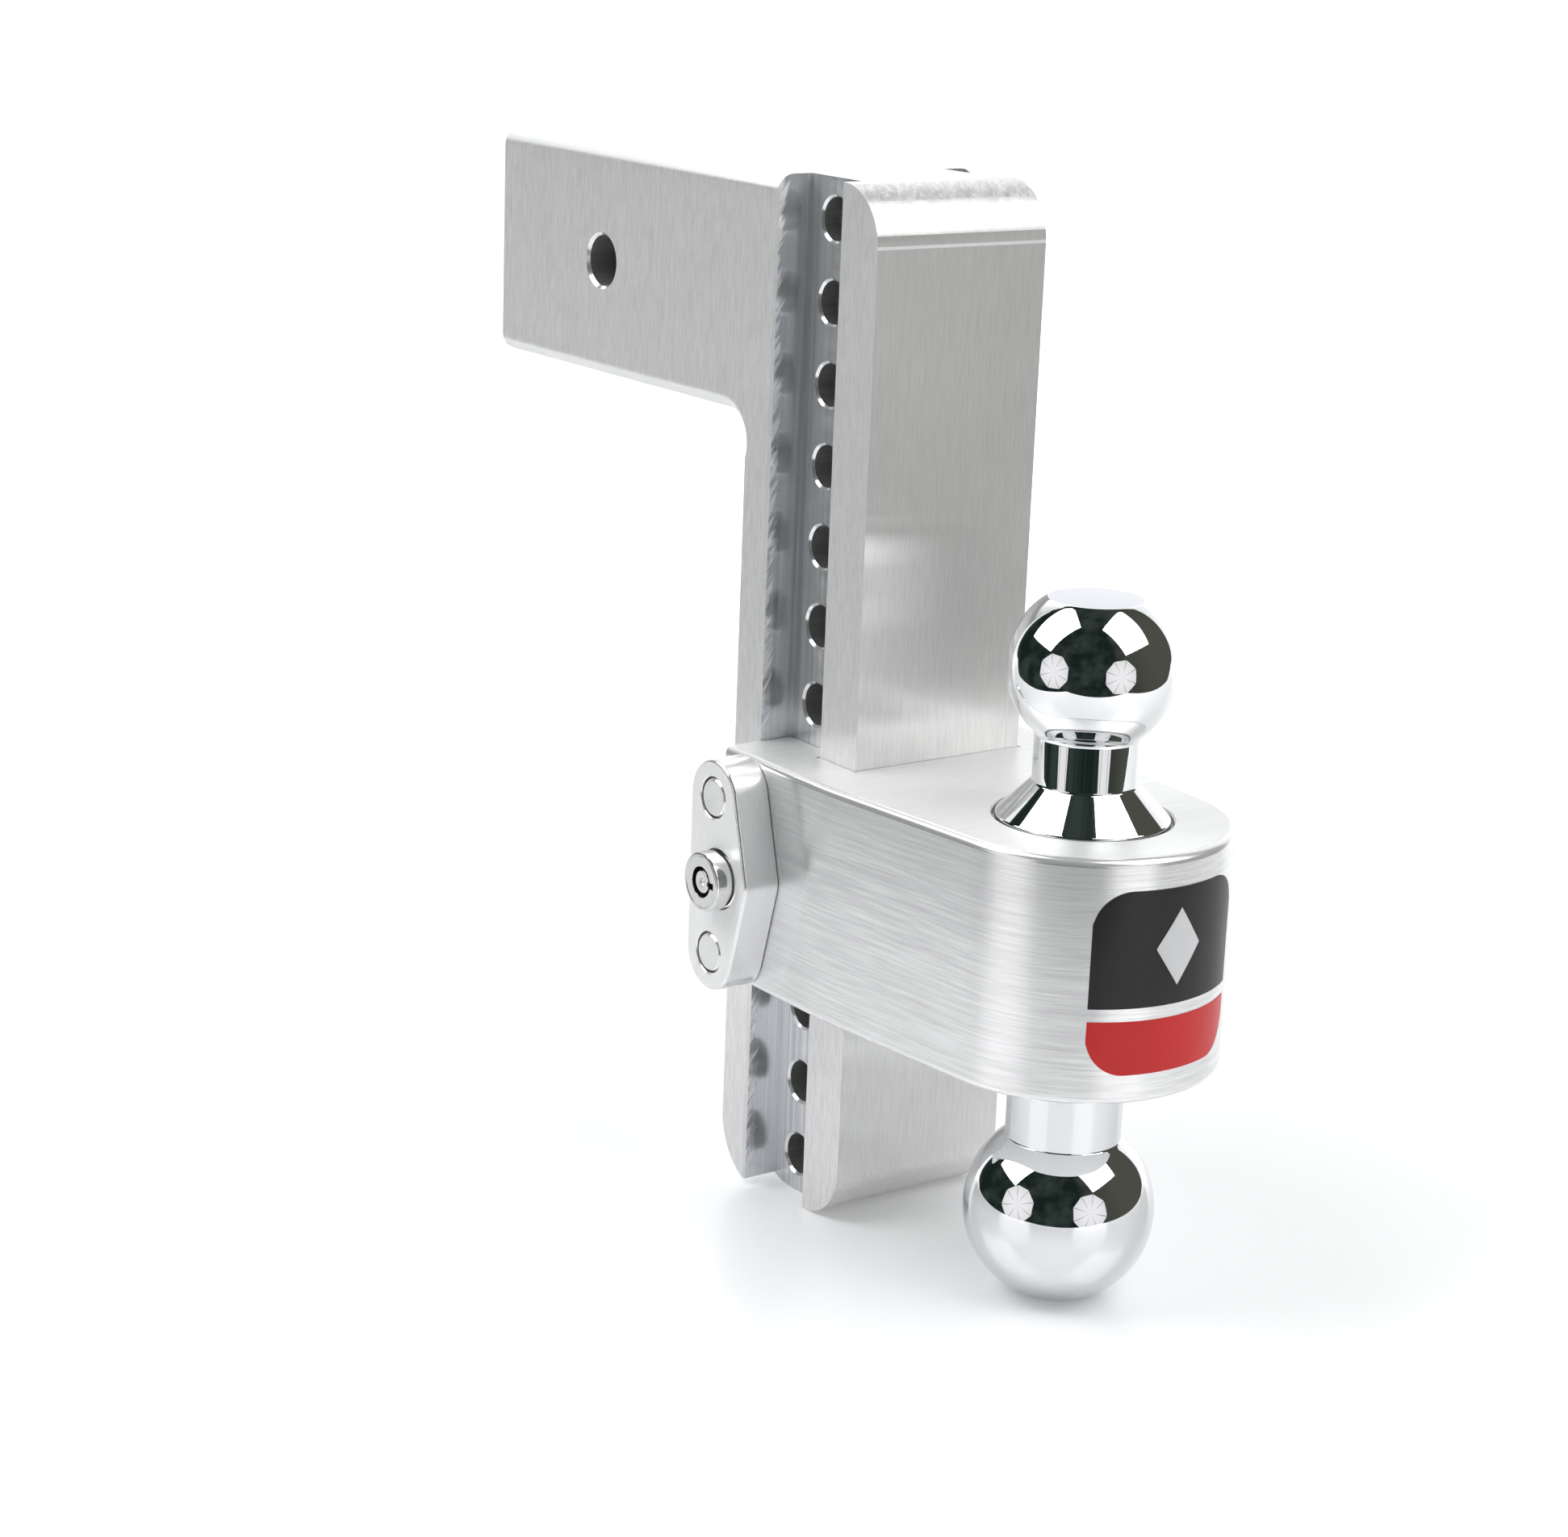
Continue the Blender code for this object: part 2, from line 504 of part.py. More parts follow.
columns = [k * STEP for k in range(-14, 15)]
label("label_field", columns, lambda a: MOUNT_Z - 7.5,
      lambda a: MOUNT_Z + 28.0 - corner_drop(a, 12.0), 0.06, 0.22, ((0.02, 0.02, 0.022), 0.0, 0.3))
label("label_band", columns, lambda a: MOUNT_Z - 28.0 + corner_drop(a, 12.0),
      lambda a: MOUNT_Z - 11.5, 0.06, 0.22, ((0.62, 0.03, 0.03), 0.0, 0.3))
marks = [k * STEP for k in range(-4, 5)]
label("label_mark", marks, lambda a: MOUNT_Z + 10.0 - 11.5 * (1 - abs(a) / (4.3 * STEP)),
      lambda a: MOUNT_Z + 10.0 + 11.5 * (1 - abs(a) / (4.3 * STEP)), 0.33, 0.15, ((0.8, 0.8, 0.8), 0.6, 0.35))
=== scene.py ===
"""Looks of the adjustable drop hitch: finer bodies, brushed and chromed finishes, a pale studio.

Named lengths are millimetres in the part's frame; MM turns them into metres. Places come from
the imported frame's boxes where a box gives them.
"""
import math

import bmesh
import bpy
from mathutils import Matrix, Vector


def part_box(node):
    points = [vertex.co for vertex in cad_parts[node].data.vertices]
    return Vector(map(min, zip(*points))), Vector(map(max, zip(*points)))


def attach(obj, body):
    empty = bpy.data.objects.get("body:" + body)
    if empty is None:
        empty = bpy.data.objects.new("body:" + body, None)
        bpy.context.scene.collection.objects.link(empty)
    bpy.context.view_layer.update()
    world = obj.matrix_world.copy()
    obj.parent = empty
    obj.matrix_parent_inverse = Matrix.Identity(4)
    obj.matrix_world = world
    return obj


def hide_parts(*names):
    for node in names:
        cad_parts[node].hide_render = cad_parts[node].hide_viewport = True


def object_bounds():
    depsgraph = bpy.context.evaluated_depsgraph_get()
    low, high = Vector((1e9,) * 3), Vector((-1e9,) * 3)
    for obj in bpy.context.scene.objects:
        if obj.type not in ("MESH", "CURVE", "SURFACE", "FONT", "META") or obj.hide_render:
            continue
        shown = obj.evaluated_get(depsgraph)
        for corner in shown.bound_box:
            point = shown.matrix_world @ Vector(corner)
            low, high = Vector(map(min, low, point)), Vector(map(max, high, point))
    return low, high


MM = 0.001

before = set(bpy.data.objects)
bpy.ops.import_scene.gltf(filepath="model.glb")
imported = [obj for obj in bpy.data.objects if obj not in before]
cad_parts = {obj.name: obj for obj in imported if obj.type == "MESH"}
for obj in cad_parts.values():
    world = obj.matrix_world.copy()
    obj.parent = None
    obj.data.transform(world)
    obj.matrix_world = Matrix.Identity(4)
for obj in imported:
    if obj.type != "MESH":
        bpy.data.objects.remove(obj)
cad_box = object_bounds()


def box_mm(node):
    low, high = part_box(node)
    return low / MM, high / MM


# ---------------------------------------- sizes read from the frame
bar_low, bar_high = box_mm("drawbar")
mount_low, mount_high = box_mm("ball_mount")
plate_low, plate_high = box_mm("pin_plate")
upper_low, upper_high = box_mm("upper_ball")
lower_low, lower_high = box_mm("lower_ball")
shell_low, shell_high = box_mm("lock_shell")
pin_low, pin_high = box_mm("upper_lock_pin")

TOP, FOOT = bar_high.z, bar_low.z
SHANK = bar_high.y - bar_low.y
RAIL_FRONT = bar_high.x
MOUNT_Z = (mount_low.z + mount_high.z) / 2
MOUNT_HALF_H = (mount_high.z - mount_low.z) / 2
MOUNT_HALF_W = mount_high.y
MOUNT_BACK = mount_low.x
BALL_X = (lower_low.x + lower_high.x) / 2
LOCK_X = (shell_low.x + shell_high.x) / 2
LOCK_FACE_Y = shell_low.y
HOLE_X = (pin_low.x + pin_high.x) / 2
PLATE_FACE_Y, PLATE_BACK_Y = plate_low.y, plate_high.y
PIN_END_Y = pin_high.y

# ---------------------------------------- sizes the boxes do not give
SHANK_ROUND = 5.8
RAIL_BACK = 149.6
CHANNEL_X = (162.6, 188.0)
FLANGE_HALF = 32.25
WEB_HALF = 25.4
LIP_CHAMFER = 0.8
NOSE_ROUND = 18.4               # the rail's two front corners
HEEL_ROUND = 22.0               # the rail's rear corner at the foot
ELBOW_ROUND = 13.0
HOLE_PITCH, HOLE_COUNT, TOP_HOLE_Z = 25.4, 13, 25.4
HOLE_R, HOLE_CHAMFER = 6.7, 0.75
HITCH_PIN_X, HITCH_PIN_R, HITCH_PIN_CHAMFER = 63.0, 8.35, 1.0
TAPER_X = 216.9                 # where the mount's sides start to close in
MOUNT_NOSE_R = 45.5
MOUNT_EDGE = 2.6
SLOT_RELIEF_R = 0.8
POCKET_R, POCKET_FLOOR_Y = 13.0, -35.0
GAP = 0.3                       # clearance between solids that do not touch
BALL_UP_R, BALL_UP_Z = 25.4, -95.1
BALL_LO_R, BALL_LO_Z = 29.37, -265.2
NECK_UP_R, NECK_LO_R = 15.9, 17.7
NECK_UP_FOOT_Z = -129.7
FLAT_UP_R = 14.45
FLARE_R = 26.3
RECESS = 2.6
STUD_BORE_R, STUD_TOP_Z, STUD_FOOT_Z = 10.3, -133.0, -226.0
PIN_R = 6.35
PLATE_END_R = 12.2
PLATE_SIDE_X, PLATE_SIDE_R = 184.4, 10.0
SHELL_R, SHELL_REAR_R = 9.5, 7.5
SHELL_SHOULDER_Y = PLATE_FACE_Y + 4.3
PAST = 20.0                     # how far a cutting tool reaches beyond the metal
SLACK = 0.1                     # allowed when a face's place picks its finish
TOO_SHORT = 5e-6                # edges below this, in metres, are dissolved


# ---------------------------------------- mesh helpers
def link(name, data):
    """A new object in the scene."""
    obj = bpy.data.objects.new(name, data)
    bpy.context.scene.collection.objects.link(obj)
    return obj


def add_mesh(name, verts, faces):
    """An object from points in millimetres of the part's frame, with outward normals."""
    mesh = bpy.data.meshes.new(name)
    bm = bmesh.new()
    points = [bm.verts.new(Vector(v) * MM) for v in verts]
    for face in faces:
        bm.faces.new([points[i] for i in face])
    bmesh.ops.recalc_face_normals(bm, faces=bm.faces)
    if bm.calc_volume(signed=True) < 0:
        bmesh.ops.reverse_faces(bm, faces=bm.faces)
    bm.to_mesh(mesh)
    bm.free()
    return link(name, mesh)


def lathe_data(profile, axis, centre, segments):
    """Points and faces of a closed profile of (radius, station) turned about Y or Z."""
    verts, rings = [], []
    for radius, station in profile:
        if radius < 1e-6:
            rings.append([len(verts)] * segments)
            angles = [0.0]
        else:
            rings.append([len(verts) + k for k in range(segments)])
            angles = [math.tau * k / segments for k in range(segments)]
        for a in angles:
            u, v = radius * math.cos(a), radius * math.sin(a)
            if axis == "Z":
                verts.append((centre[0] + u, centre[1] + v, station))
            else:
                verts.append((centre[0] + u, station, centre[1] + v))
    faces = []
    for i in range(len(profile)):
        a, b = rings[i], rings[(i + 1) % len(profile)]
        for k in range(segments):
            n = (k + 1) % segments
            ring = []
            for index in (a[k], a[n], b[n], b[k]):
                if index not in ring:
                    ring.append(index)
            if len(ring) > 2:
                faces.append(ring)
    return verts, faces


def merge(*pieces):
    """Several separate closed shells as one set of points and faces."""
    verts, faces = [], []
    for points, polygons in pieces:
        base = len(verts)
        verts += points
        faces += [[i + base for i in polygon] for polygon in polygons]
    return verts, faces


def loft_data(levels, place):
    """A closed solid through outlines of equal length; place makes a point of (a, b, level)."""
    verts = [place(a, b, level) for outline, level in levels for a, b in outline]
    n = len(levels[0][0])
    faces = [list(range(n))[::-1], [n * (len(levels) - 1) + k for k in range(n)]]
    for i in range(len(levels) - 1):
        for k in range(n):
            m = (k + 1) % n
            faces.append([i * n + k, i * n + m, (i + 1) * n + m, (i + 1) * n + k])
    return verts, faces


def side_place(a, b, t):
    return (a, t, b)


def plan_place(a, b, t):
    return (a, b, t)


def arc(cx, cy, radius, start, end, count):
    """Points on an arc, degrees, both ends included."""
    angles = [math.radians(start + (end - start) * k / count) for k in range(count + 1)]
    return [(cx + radius * math.cos(a), cy + radius * math.sin(a)) for a in angles]


def inward(outline):
    """Unit offset directions towards the inside of a counter-clockwise outline."""
    result = []
    for k, here in enumerate(outline):
        before, after = Vector(outline[k - 1]), Vector(outline[(k + 1) % len(outline)])
        e1 = (Vector(here) - before).normalized()
        e2 = (after - Vector(here)).normalized()
        n = Vector((-e1.y, e1.x)) + Vector((-e2.y, e2.x))
        n.normalize()
        result.append(n / max(0.4, n.dot(Vector((-e1.y, e1.x)))))
    return result


def inset(outline, directions, amounts):
    return [(p[0] + d.x * a, p[1] + d.y * a) for p, d, a in zip(outline, directions, amounts)]


def rounded_edge(half, size, steps):
    """(station, share of the size to pull in) across a slab with a quarter round at each face."""
    for side in (-1, 1):
        for step in range(steps + 1):
            angle = math.radians(90 * (step if side < 0 else steps - step) / steps)
            yield side * (half - size * (1 - math.cos(angle))), 1 - math.sin(angle)


def left_turn(a, b, c):
    """Positive where the path a, b, c turns left."""
    return (b[0] - a[0]) * (c[1] - a[1]) - (b[1] - a[1]) * (c[0] - a[0])


def hull(points):
    """Convex outline, counter-clockwise."""
    points = sorted(set((round(x, 5), round(y, 5)) for x, y in points))

    def half(sequence):
        chain = []
        for p in sequence:
            while len(chain) > 1 and left_turn(chain[-2], chain[-1], p) <= 1e-9:
                chain.pop()
            chain.append(p)
        return chain[:-1]

    return half(points) + half(points[::-1])


def rounded(points, steps=4):
    """A profile whose points may carry a third value, the size of the round at that corner."""
    result = []
    for k, point in enumerate(points):
        here = Vector(point[:2])
        size = point[2] if len(point) > 2 else 0.0
        if size == 0.0:
            result.append(tuple(here))
            continue
        back = Vector(points[k - 1][:2]) - here
        on = Vector(points[(k + 1) % len(points)][:2]) - here
        start = here + back.normalized() * min(size, 0.45 * back.length)
        end = here + on.normalized() * min(size, 0.45 * on.length)
        for i in range(steps + 1):
            t = i / steps
            result.append(tuple(start * (1 - t) ** 2 + here * 2 * t * (1 - t) + end * t * t))
    return result


def box_data(x, y, z):
    outline = [(x[0], y[0]), (x[1], y[0]), (x[1], y[1]), (x[0], y[1])]
    return loft_data([(outline, z[0]), (outline, z[1])], plan_place)


def apply_modifiers(obj):
    graph = bpy.context.evaluated_depsgraph_get()
    mesh = bpy.data.meshes.new_from_object(obj.evaluated_get(graph))
    obj.modifiers.clear()
    obj.data = mesh


def cut(target, data):
    """Takes the shells in data away from target's mesh for good."""
    tool = add_mesh("tool", *data)
    boolean = target.modifiers.new("cut", "BOOLEAN")
    boolean.operation = "DIFFERENCE"
    boolean.solver = "EXACT"
    boolean.object = tool
    apply_modifiers(target)
    bpy.data.objects.remove(tool, do_unlink=True)


def paint(obj, materials, choose):
    """Gives each face the material that choose(centre in millimetres, normal) names."""
    names = list(materials)
    obj.data.materials.clear()
    for name in names:
        obj.data.materials.append(materials[name])
    for face in obj.data.polygons:
        face.material_index = names.index(choose(face.center / MM, face.normal))


def clean(mesh):
    """Dissolves the faces of no area that cutting and bevelling leave."""
    bm = bmesh.new()
    bm.from_mesh(mesh)
    bmesh.ops.dissolve_degenerate(bm, dist=TOO_SHORT, edges=bm.edges[:])
    bmesh.ops.remove_doubles(bm, verts=bm.verts[:], dist=TOO_SHORT)
    bm.to_mesh(mesh)
    bm.free()


def smooth(obj, sharp_degrees, bevel=0.0):
    """Smooth shading with true flats; a bevel, in millimetres, goes on every sharper edge."""
    crease = sharp_degrees
    if bevel:
        edge = obj.modifiers.new("edge", "BEVEL")
        edge.width = bevel * MM
        edge.segments = 2
        edge.limit_method = "ANGLE"
        edge.angle_limit = math.radians(sharp_degrees)
        edge.miter_outer = "MITER_ARC"
        apply_modifiers(obj)
        crease = 60             # a bevel's own steps are shaded smooth
    clean(obj.data)
    obj.data.shade_smooth()
    obj.data.set_sharp_from_angle(angle=math.radians(crease))
    weighted = obj.modifiers.new("flats", "WEIGHTED_NORMAL")
    weighted.keep_sharp = True


def stand_for(obj, body, slot, *nodes):
    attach(obj, body)
    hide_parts(*nodes)


# ---------------------------------------- material helpers
def start(name, metallic, **constants):
    mat = bpy.data.materials.new(name)
    mat.use_nodes = True
    shader = mat.node_tree.nodes["Principled BSDF"]
    shader.inputs["Metallic"].default_value = metallic
    for key, value in constants.items():
        shader.inputs[key.replace("_", " ")].default_value = value
    return mat, mat.node_tree, shader


def feed(tree, shader, **sources):
    """Links each source to the shader's socket of that name."""
    for key, source in sources.items():
        tree.links.new(source, shader.inputs[key.replace("_", " ")])


def shining(name, colour, strength=1.0):
    """A surface that gives light and does nothing else."""
    mat = bpy.data.materials.new(name)
    mat.use_nodes = True
    tree = mat.node_tree
    tree.nodes.clear()
    light = tree.nodes.new("ShaderNodeEmission")
    light.inputs["Color"].default_value = (*colour, 1.0)
    light.inputs["Strength"].default_value = strength
    out = tree.nodes.new("ShaderNodeOutputMaterial")
    tree.links.new(light.outputs["Emission"], out.inputs["Surface"])
    return mat, tree, light


def own_place(tree):
    """A point's place in its object's own frame, in metres."""
    return tree.nodes.new("ShaderNodeTexCoord").outputs["Object"]


def mapped(tree, texture, kind, **settings):
    """Lays a texture out in the part's frame."""
    mapping = tree.nodes.new("ShaderNodeMapping")
    mapping.vector_type = kind
    for key, value in settings.items():
        mapping.inputs[key].default_value = value
    tree.links.new(own_place(tree), mapping.inputs["Vector"])
    tree.links.new(mapping.outputs["Vector"], texture.inputs["Vector"])
    return texture.outputs["Fac"]


def noise(tree, frequency, stretch=(1, 1, 1), detail=3.0, turn=(0, 0, 0)):
    """Noise, frequency in features per metre, drawn out along the axes whose stretch is small."""
    texture = tree.nodes.new("ShaderNodeTexNoise")
    texture.inputs["Scale"].default_value = 1.0
    texture.inputs["Detail"].default_value = detail
    texture.inputs["Roughness"].default_value = 0.6
    return mapped(tree, texture, "TEXTURE", Rotation=[math.radians(a) for a in turn],
                  Scale=[1 / (frequency * s) for s in stretch])


def rings(tree, frequency, centre, axis):
    """Turning marks about an axis through centre, frequency in marks per metre."""
    wave = tree.nodes.new("ShaderNodeTexWave")
    wave.wave_type = "RINGS"
    wave.rings_direction = axis
    wave.inputs["Scale"].default_value = frequency
    wave.inputs["Distortion"].default_value = 1.5
    wave.inputs["Detail"].default_value = 3.0
    wave.inputs["Detail Scale"].default_value = 2.0
    return mapped(tree, wave, "POINT", Location=[-c * MM for c in centre])


def spread(tree, source, low, high, least=0.3, most=0.7):
    """Maps source from least..most to low..high, clamped."""
    node = tree.nodes.new("ShaderNodeMapRange")
    node.inputs["From Min"].default_value = least
    node.inputs["From Max"].default_value = most
    node.inputs["To Min"].default_value = low
    node.inputs["To Max"].default_value = high
    tree.links.new(source, node.inputs["Value"])
    return node.outputs["Result"]


def combine(tree, a, b, operation="ADD"):
    node = tree.nodes.new("ShaderNodeMath")
    node.operation = operation
    tree.links.new(a, node.inputs[0])
    tree.links.new(b, node.inputs[1])
    return node.outputs["Value"]


def blend_colour(tree, factor, dark, light):
    """Mixes dark and light by factor; each is an (r, g, b) or another node's colour."""
    node = tree.nodes.new("ShaderNodeMix")
    node.data_type = "RGBA"
    for name, colour in (("A", dark), ("B", light)):
        socket = next(s for s in node.inputs if s.name == name and s.type == "RGBA")
        if isinstance(colour, bpy.types.NodeSocket):
            tree.links.new(colour, socket)
        else:
            socket.default_value = (*colour, 1.0)
    tree.links.new(factor, node.inputs["Factor"])
    return next(s for s in node.outputs if s.type == "RGBA")


def from_origin(tree):
    """Distance from the object's own origin, in metres."""
    length = tree.nodes.new("ShaderNodeVectorMath")
    length.operation = "LENGTH"
    tree.links.new(own_place(tree), length.inputs[0])
    return length.outputs["Value"]


def bump(tree, shader, height, depth):
    """Relief from height, its full depth in millimetres."""
    node = tree.nodes.new("ShaderNodeBump")
    node.inputs["Distance"].default_value = depth * MM
    tree.links.new(height, node.inputs["Height"])
    tree.links.new(node.outputs["Normal"], shader.inputs["Normal"])


def grained(name, tones, rough, stretch, frequency=1900, depth=0.0015, anisotropy=0.9,
            turn=0.0, metallic=0.6):
    """Brushed metal, its grain along the axes whose stretch is small.

    Fine streaks, a few broad ones seven times their width, and faint clouds in the gloss.
    """
    mat, tree, shader = start(name, metallic, Anisotropic=anisotropy, Anisotropic_Rotation=turn)
    fine = noise(tree, frequency, stretch, 2.0)
    broad = noise(tree, frequency / 7, stretch, 3.0)
    cloud = noise(tree, 28, detail=2.0)
    streak = combine(tree, spread(tree, fine, 0.0, 0.85), spread(tree, broad, 0.0, 0.15))
    tone = blend_colour(tree, streak, *tones)
    wear = combine(tree, spread(tree, streak, rough[1], rough[0], 0.0, 1.0),
                   spread(tree, cloud, -0.02, 0.02))
    feed(tree, shader, Base_Color=tone, Roughness=wear)
    if depth:
        bump(tree, shader, fine, depth)
    return mat


def milled(name, tones, rough, lip):
    """Channel wall: upright tool lines, and slanting tool strokes whose painted highlight brightens
    the lip.

    The strokes and their painted highlight fade in over lip, two distances in metres from the
    part's middle plane.
    """
    mat, tree, shader = start(name, 0.78, Anisotropic=0.8)
    lines = noise(tree, 900, LONG, 2.0)
    strokes = noise(tree, 620, (1.0, 0.12, 1.0), 2.0, (58, 0, 0))
    split = tree.nodes.new("ShaderNodeSeparateXYZ")
    side = tree.nodes.new("ShaderNodeMath")
    side.operation = "ABSOLUTE"
    tree.links.new(own_place(tree), split.inputs[0])
    tree.links.new(split.outputs["Y"], side.inputs[0])
    # painted highlight: near the lip the strokes lighten the colour and lower the metal share
    reach = combine(tree, spread(tree, strokes, 0.0, 0.9, 0.35, 0.65),
                    spread(tree, side.outputs["Value"], 0.0, 1.0, *lip))
    lip_strokes_and_highlight = spread(tree, reach, 0.0, 1.0, 0.95, 1.3)
    tone = combine(tree, spread(tree, lines, 0.0, 0.6), lip_strokes_and_highlight, "MAXIMUM")
    feed(tree, shader, Base_Color=blend_colour(tree, tone, *tones),
         Metallic=spread(tree, lip_strokes_and_highlight, 0.78, 0.3, 0.0, 1.0), Roughness=spread(tree, lines, *rough))
    bump(tree, shader, lines, 0.006)
    return mat


def scuffed(name, tones, rough, metallic, frequency, depth):
    """Bright metal with short scratches that run every way."""
    mat, tree, shader = start(name, metallic)
    first = noise(tree, frequency, (1.0, 1.0, 0.15), 2.0, (0, 50, 20))
    second = noise(tree, frequency, (1.0, 0.15, 1.0), 2.0, (35, 0, 60))
    third = noise(tree, frequency, (0.2, 1.0, 1.0), 2.0, (10, 25, -35))
    marks = combine(tree, combine(tree, first, second, "MAXIMUM"), third, "MAXIMUM")
    tone = blend_colour(tree, spread(tree, marks, 0.0, 1.0, 0.45, 0.75), *tones)
    feed(tree, shader, Base_Color=tone, Roughness=spread(tree, marks, *rough, 0.45, 0.75))
    bump(tree, shader, marks, depth)
    return mat


def chrome(name, tones, rough, ripple):
    """Polished plate: faint smears in its gloss and a very shallow orange peel."""
    mat, tree, shader = start(name, 1.0)
    smear = noise(tree, 90, (1.0, 1.0, 0.5), 3.0)
    peel = noise(tree, 350, detail=2.0)
    feed(tree, shader, Base_Color=blend_colour(tree, smear, *tones),
         Roughness=spread(tree, smear, *rough))
    bump(tree, shader, peel, ripple)
    return mat


def turned(name, tones, rough, centre, axis, frequency=900, metallic=1.0):
    """Metal faced on a lathe: rings about its axis."""
    mat, tree, shader = start(name, metallic)
    marks = rings(tree, frequency, centre, axis)
    cloud = noise(tree, 300, detail=3.0)
    tone = blend_colour(tree, combine(tree, marks, cloud, "MULTIPLY"), *tones)
    feed(tree, shader, Base_Color=tone, Roughness=spread(tree, cloud, *rough))
    bump(tree, shader, marks, 0.004)
    return mat


def film(name, tones):
    """Printed label film under a thin gloss layer."""
    mat, tree, shader = start(name, 0.0, Coat_Weight=0.12, Coat_Roughness=0.08,
                              Specular_IOR_Level=0.25)
    cloud = noise(tree, 60, detail=4.0)
    peel = noise(tree, 700, detail=2.0)
    feed(tree, shader, Base_Color=blend_colour(tree, cloud, *tones),
         Roughness=spread(tree, cloud, 0.30, 0.36))
    bump(tree, shader, peel, 0.0008)
    return mat


# ---------------------------------------- finishes
UPRIGHT = (1.0, 1.0, 0.05)      # grain along Z
SHORT = (1.0, 1.0, 0.08)        # the same in shorter strokes
LONG = (1.0, 1.0, 0.01)         # tool lines that run the whole height
LEVEL = (0.035, 0.035, 1.0)     # grain along the horizontal
ALONG_X = (0.02, 1.0, 1.0)
ALONG_Y = (1.0, 0.02, 1.0)


def grey(level):
    return (level, level, level)


# Each roughness pair is (smoothest, roughest).
BAR = {
    "side": grained("bar_side", ((0.80, 0.79, 0.795), (1.0, 0.99, 0.995)), (0.32, 0.36),
                    SHORT, 1700, metallic=0.48),
    "front": grained("bar_front", ((0.84, 0.835, 0.83), (1.0, 0.995, 0.99)), (0.21, 0.25),
                     UPRIGHT, 1700, anisotropy=1.0, metallic=0.56),
    "top": grained("bar_top", ((0.80, 0.80, 0.81), (0.88, 0.88, 0.89)), (0.31, 0.42),
                   ALONG_X, anisotropy=0.3),
    "channel": grained("bar_channel", ((0.56, 0.58, 0.61), grey(1.0)), (0.17, 0.25),
                       LONG, 700, depth=0.008, anisotropy=0.5, metallic=0.74),
    "wall": milled("bar_channel_wall", ((0.76, 0.78, 0.81), (0.98, 0.985, 1.0)),
                   (0.15, 0.25), (0.0325, 0.0382)),
    # painted highlight: the lip chamfer is near white and mostly not metallic so it reads bright
    "lip": grained("bar_lip_highlight", ((0.88, 0.88, 0.89), grey(1.0)), (0.32, 0.38),
                   SHORT, 900, depth=0.004, anisotropy=0.0, metallic=0.3),
    # painted highlight: a near-white, mostly non-metallic stripe at the foot of the front's upper
    # round
    "line": grained("bar_front_highlight_stripe", (grey(0.90), grey(0.96)), (0.32, 0.38),
                    ALONG_Y, 900, metallic=0.2),
    "crown": scuffed("bar_crown", (grey(0.68), (1.0, 1.0, 0.99)), (0.30, 0.50),
                     metallic=0.6, frequency=650, depth=0.07),
    "round": scuffed("bar_round", (grey(0.86), (0.97, 0.97, 0.96)), (0.34, 0.48),
                     metallic=0.7, frequency=500, depth=0.008),
    "edge": grained("bar_edge", ((0.92, 0.92, 0.93), grey(0.99)), (0.32, 0.38),
                    ALONG_X, 900, depth=0.0, anisotropy=0.3, metallic=0.45),
    "rim": grained("bar_rim", ((0.86, 0.86, 0.87), (0.96, 0.96, 0.97)), (0.16, 0.22),
                   ALONG_X, 900, depth=0.0, anisotropy=0.0, metallic=0.8),
    # painted shade: the bores are toned much darker than the outside faces
    "bore": grained("bar_bore_painted_shade", (grey(0.46), (0.62, 0.62, 0.61)), (0.31, 0.38),
                    ALONG_Y, 700, depth=0.02, anisotropy=0.0, metallic=0.85),
}
MOUNT = {
    "side": grained("mount_side", ((0.77, 0.77, 0.775), (0.97, 0.97, 0.975)), (0.20, 0.25),
                    LEVEL, 1500, turn=0.25, metallic=0.76),
    "top": grained("mount_top", (grey(0.84), grey(0.92)), (0.34, 0.46),
                   ALONG_Y, 1900, depth=0.001, anisotropy=0.2, metallic=0.42),
    # partly painted highlight: the rounds and slot bevels get a lighter, less metallic finish than
    # the sides so they read bright
    "edge": grained("mount_edge_highlight", ((0.88, 0.88, 0.885), (0.98, 0.98, 0.985)), (0.17, 0.24),
                    LEVEL, 900, depth=0.0, anisotropy=0.3, metallic=0.62),
    "slot": grained("mount_slot", (grey(0.88), grey(0.97)), (0.31, 0.38),
                    LEVEL, 900, depth=0.0, anisotropy=0.0, metallic=0.3),
    # painted shade: the bore is toned much darker than the outside faces
    "bore": grained("mount_bore_painted_shade", (grey(0.50), grey(0.68)), (0.31, 0.38),
                    LEVEL, 700, depth=0.02, anisotropy=0.0, metallic=0.85),
}
PLATE = {
    "face": grained("plate_face", ((0.93, 0.93, 0.935), grey(1.0)), (0.32, 0.42),
                    SHORT, 1600, anisotropy=0.3, metallic=0.24),
    "side": grained("plate_side", ((0.92, 0.92, 0.93), (0.99, 0.99, 1.0)), (0.19, 0.25),
                    UPRIGHT, 1200, anisotropy=0.2, metallic=0.5),
    # painted shade: the bores are toned far darker than the plate's face
    "bore": grained("plate_bore_painted_shade", (grey(0.30), grey(0.44)), (0.31, 0.38),
                    ALONG_Y, 700, depth=0.02, anisotropy=0.0),
    "edge": grained("plate_edge", ((0.87, 0.87, 0.88), (0.96, 0.96, 0.97)), (0.16, 0.24),
                    UPRIGHT, 900, depth=0.0, anisotropy=0.2, metallic=0.8),
}
CHROME = chrome("ball_chrome", ((0.80, 0.81, 0.825), (0.87, 0.875, 0.885)), (0.018, 0.045),
                ripple=0.002)
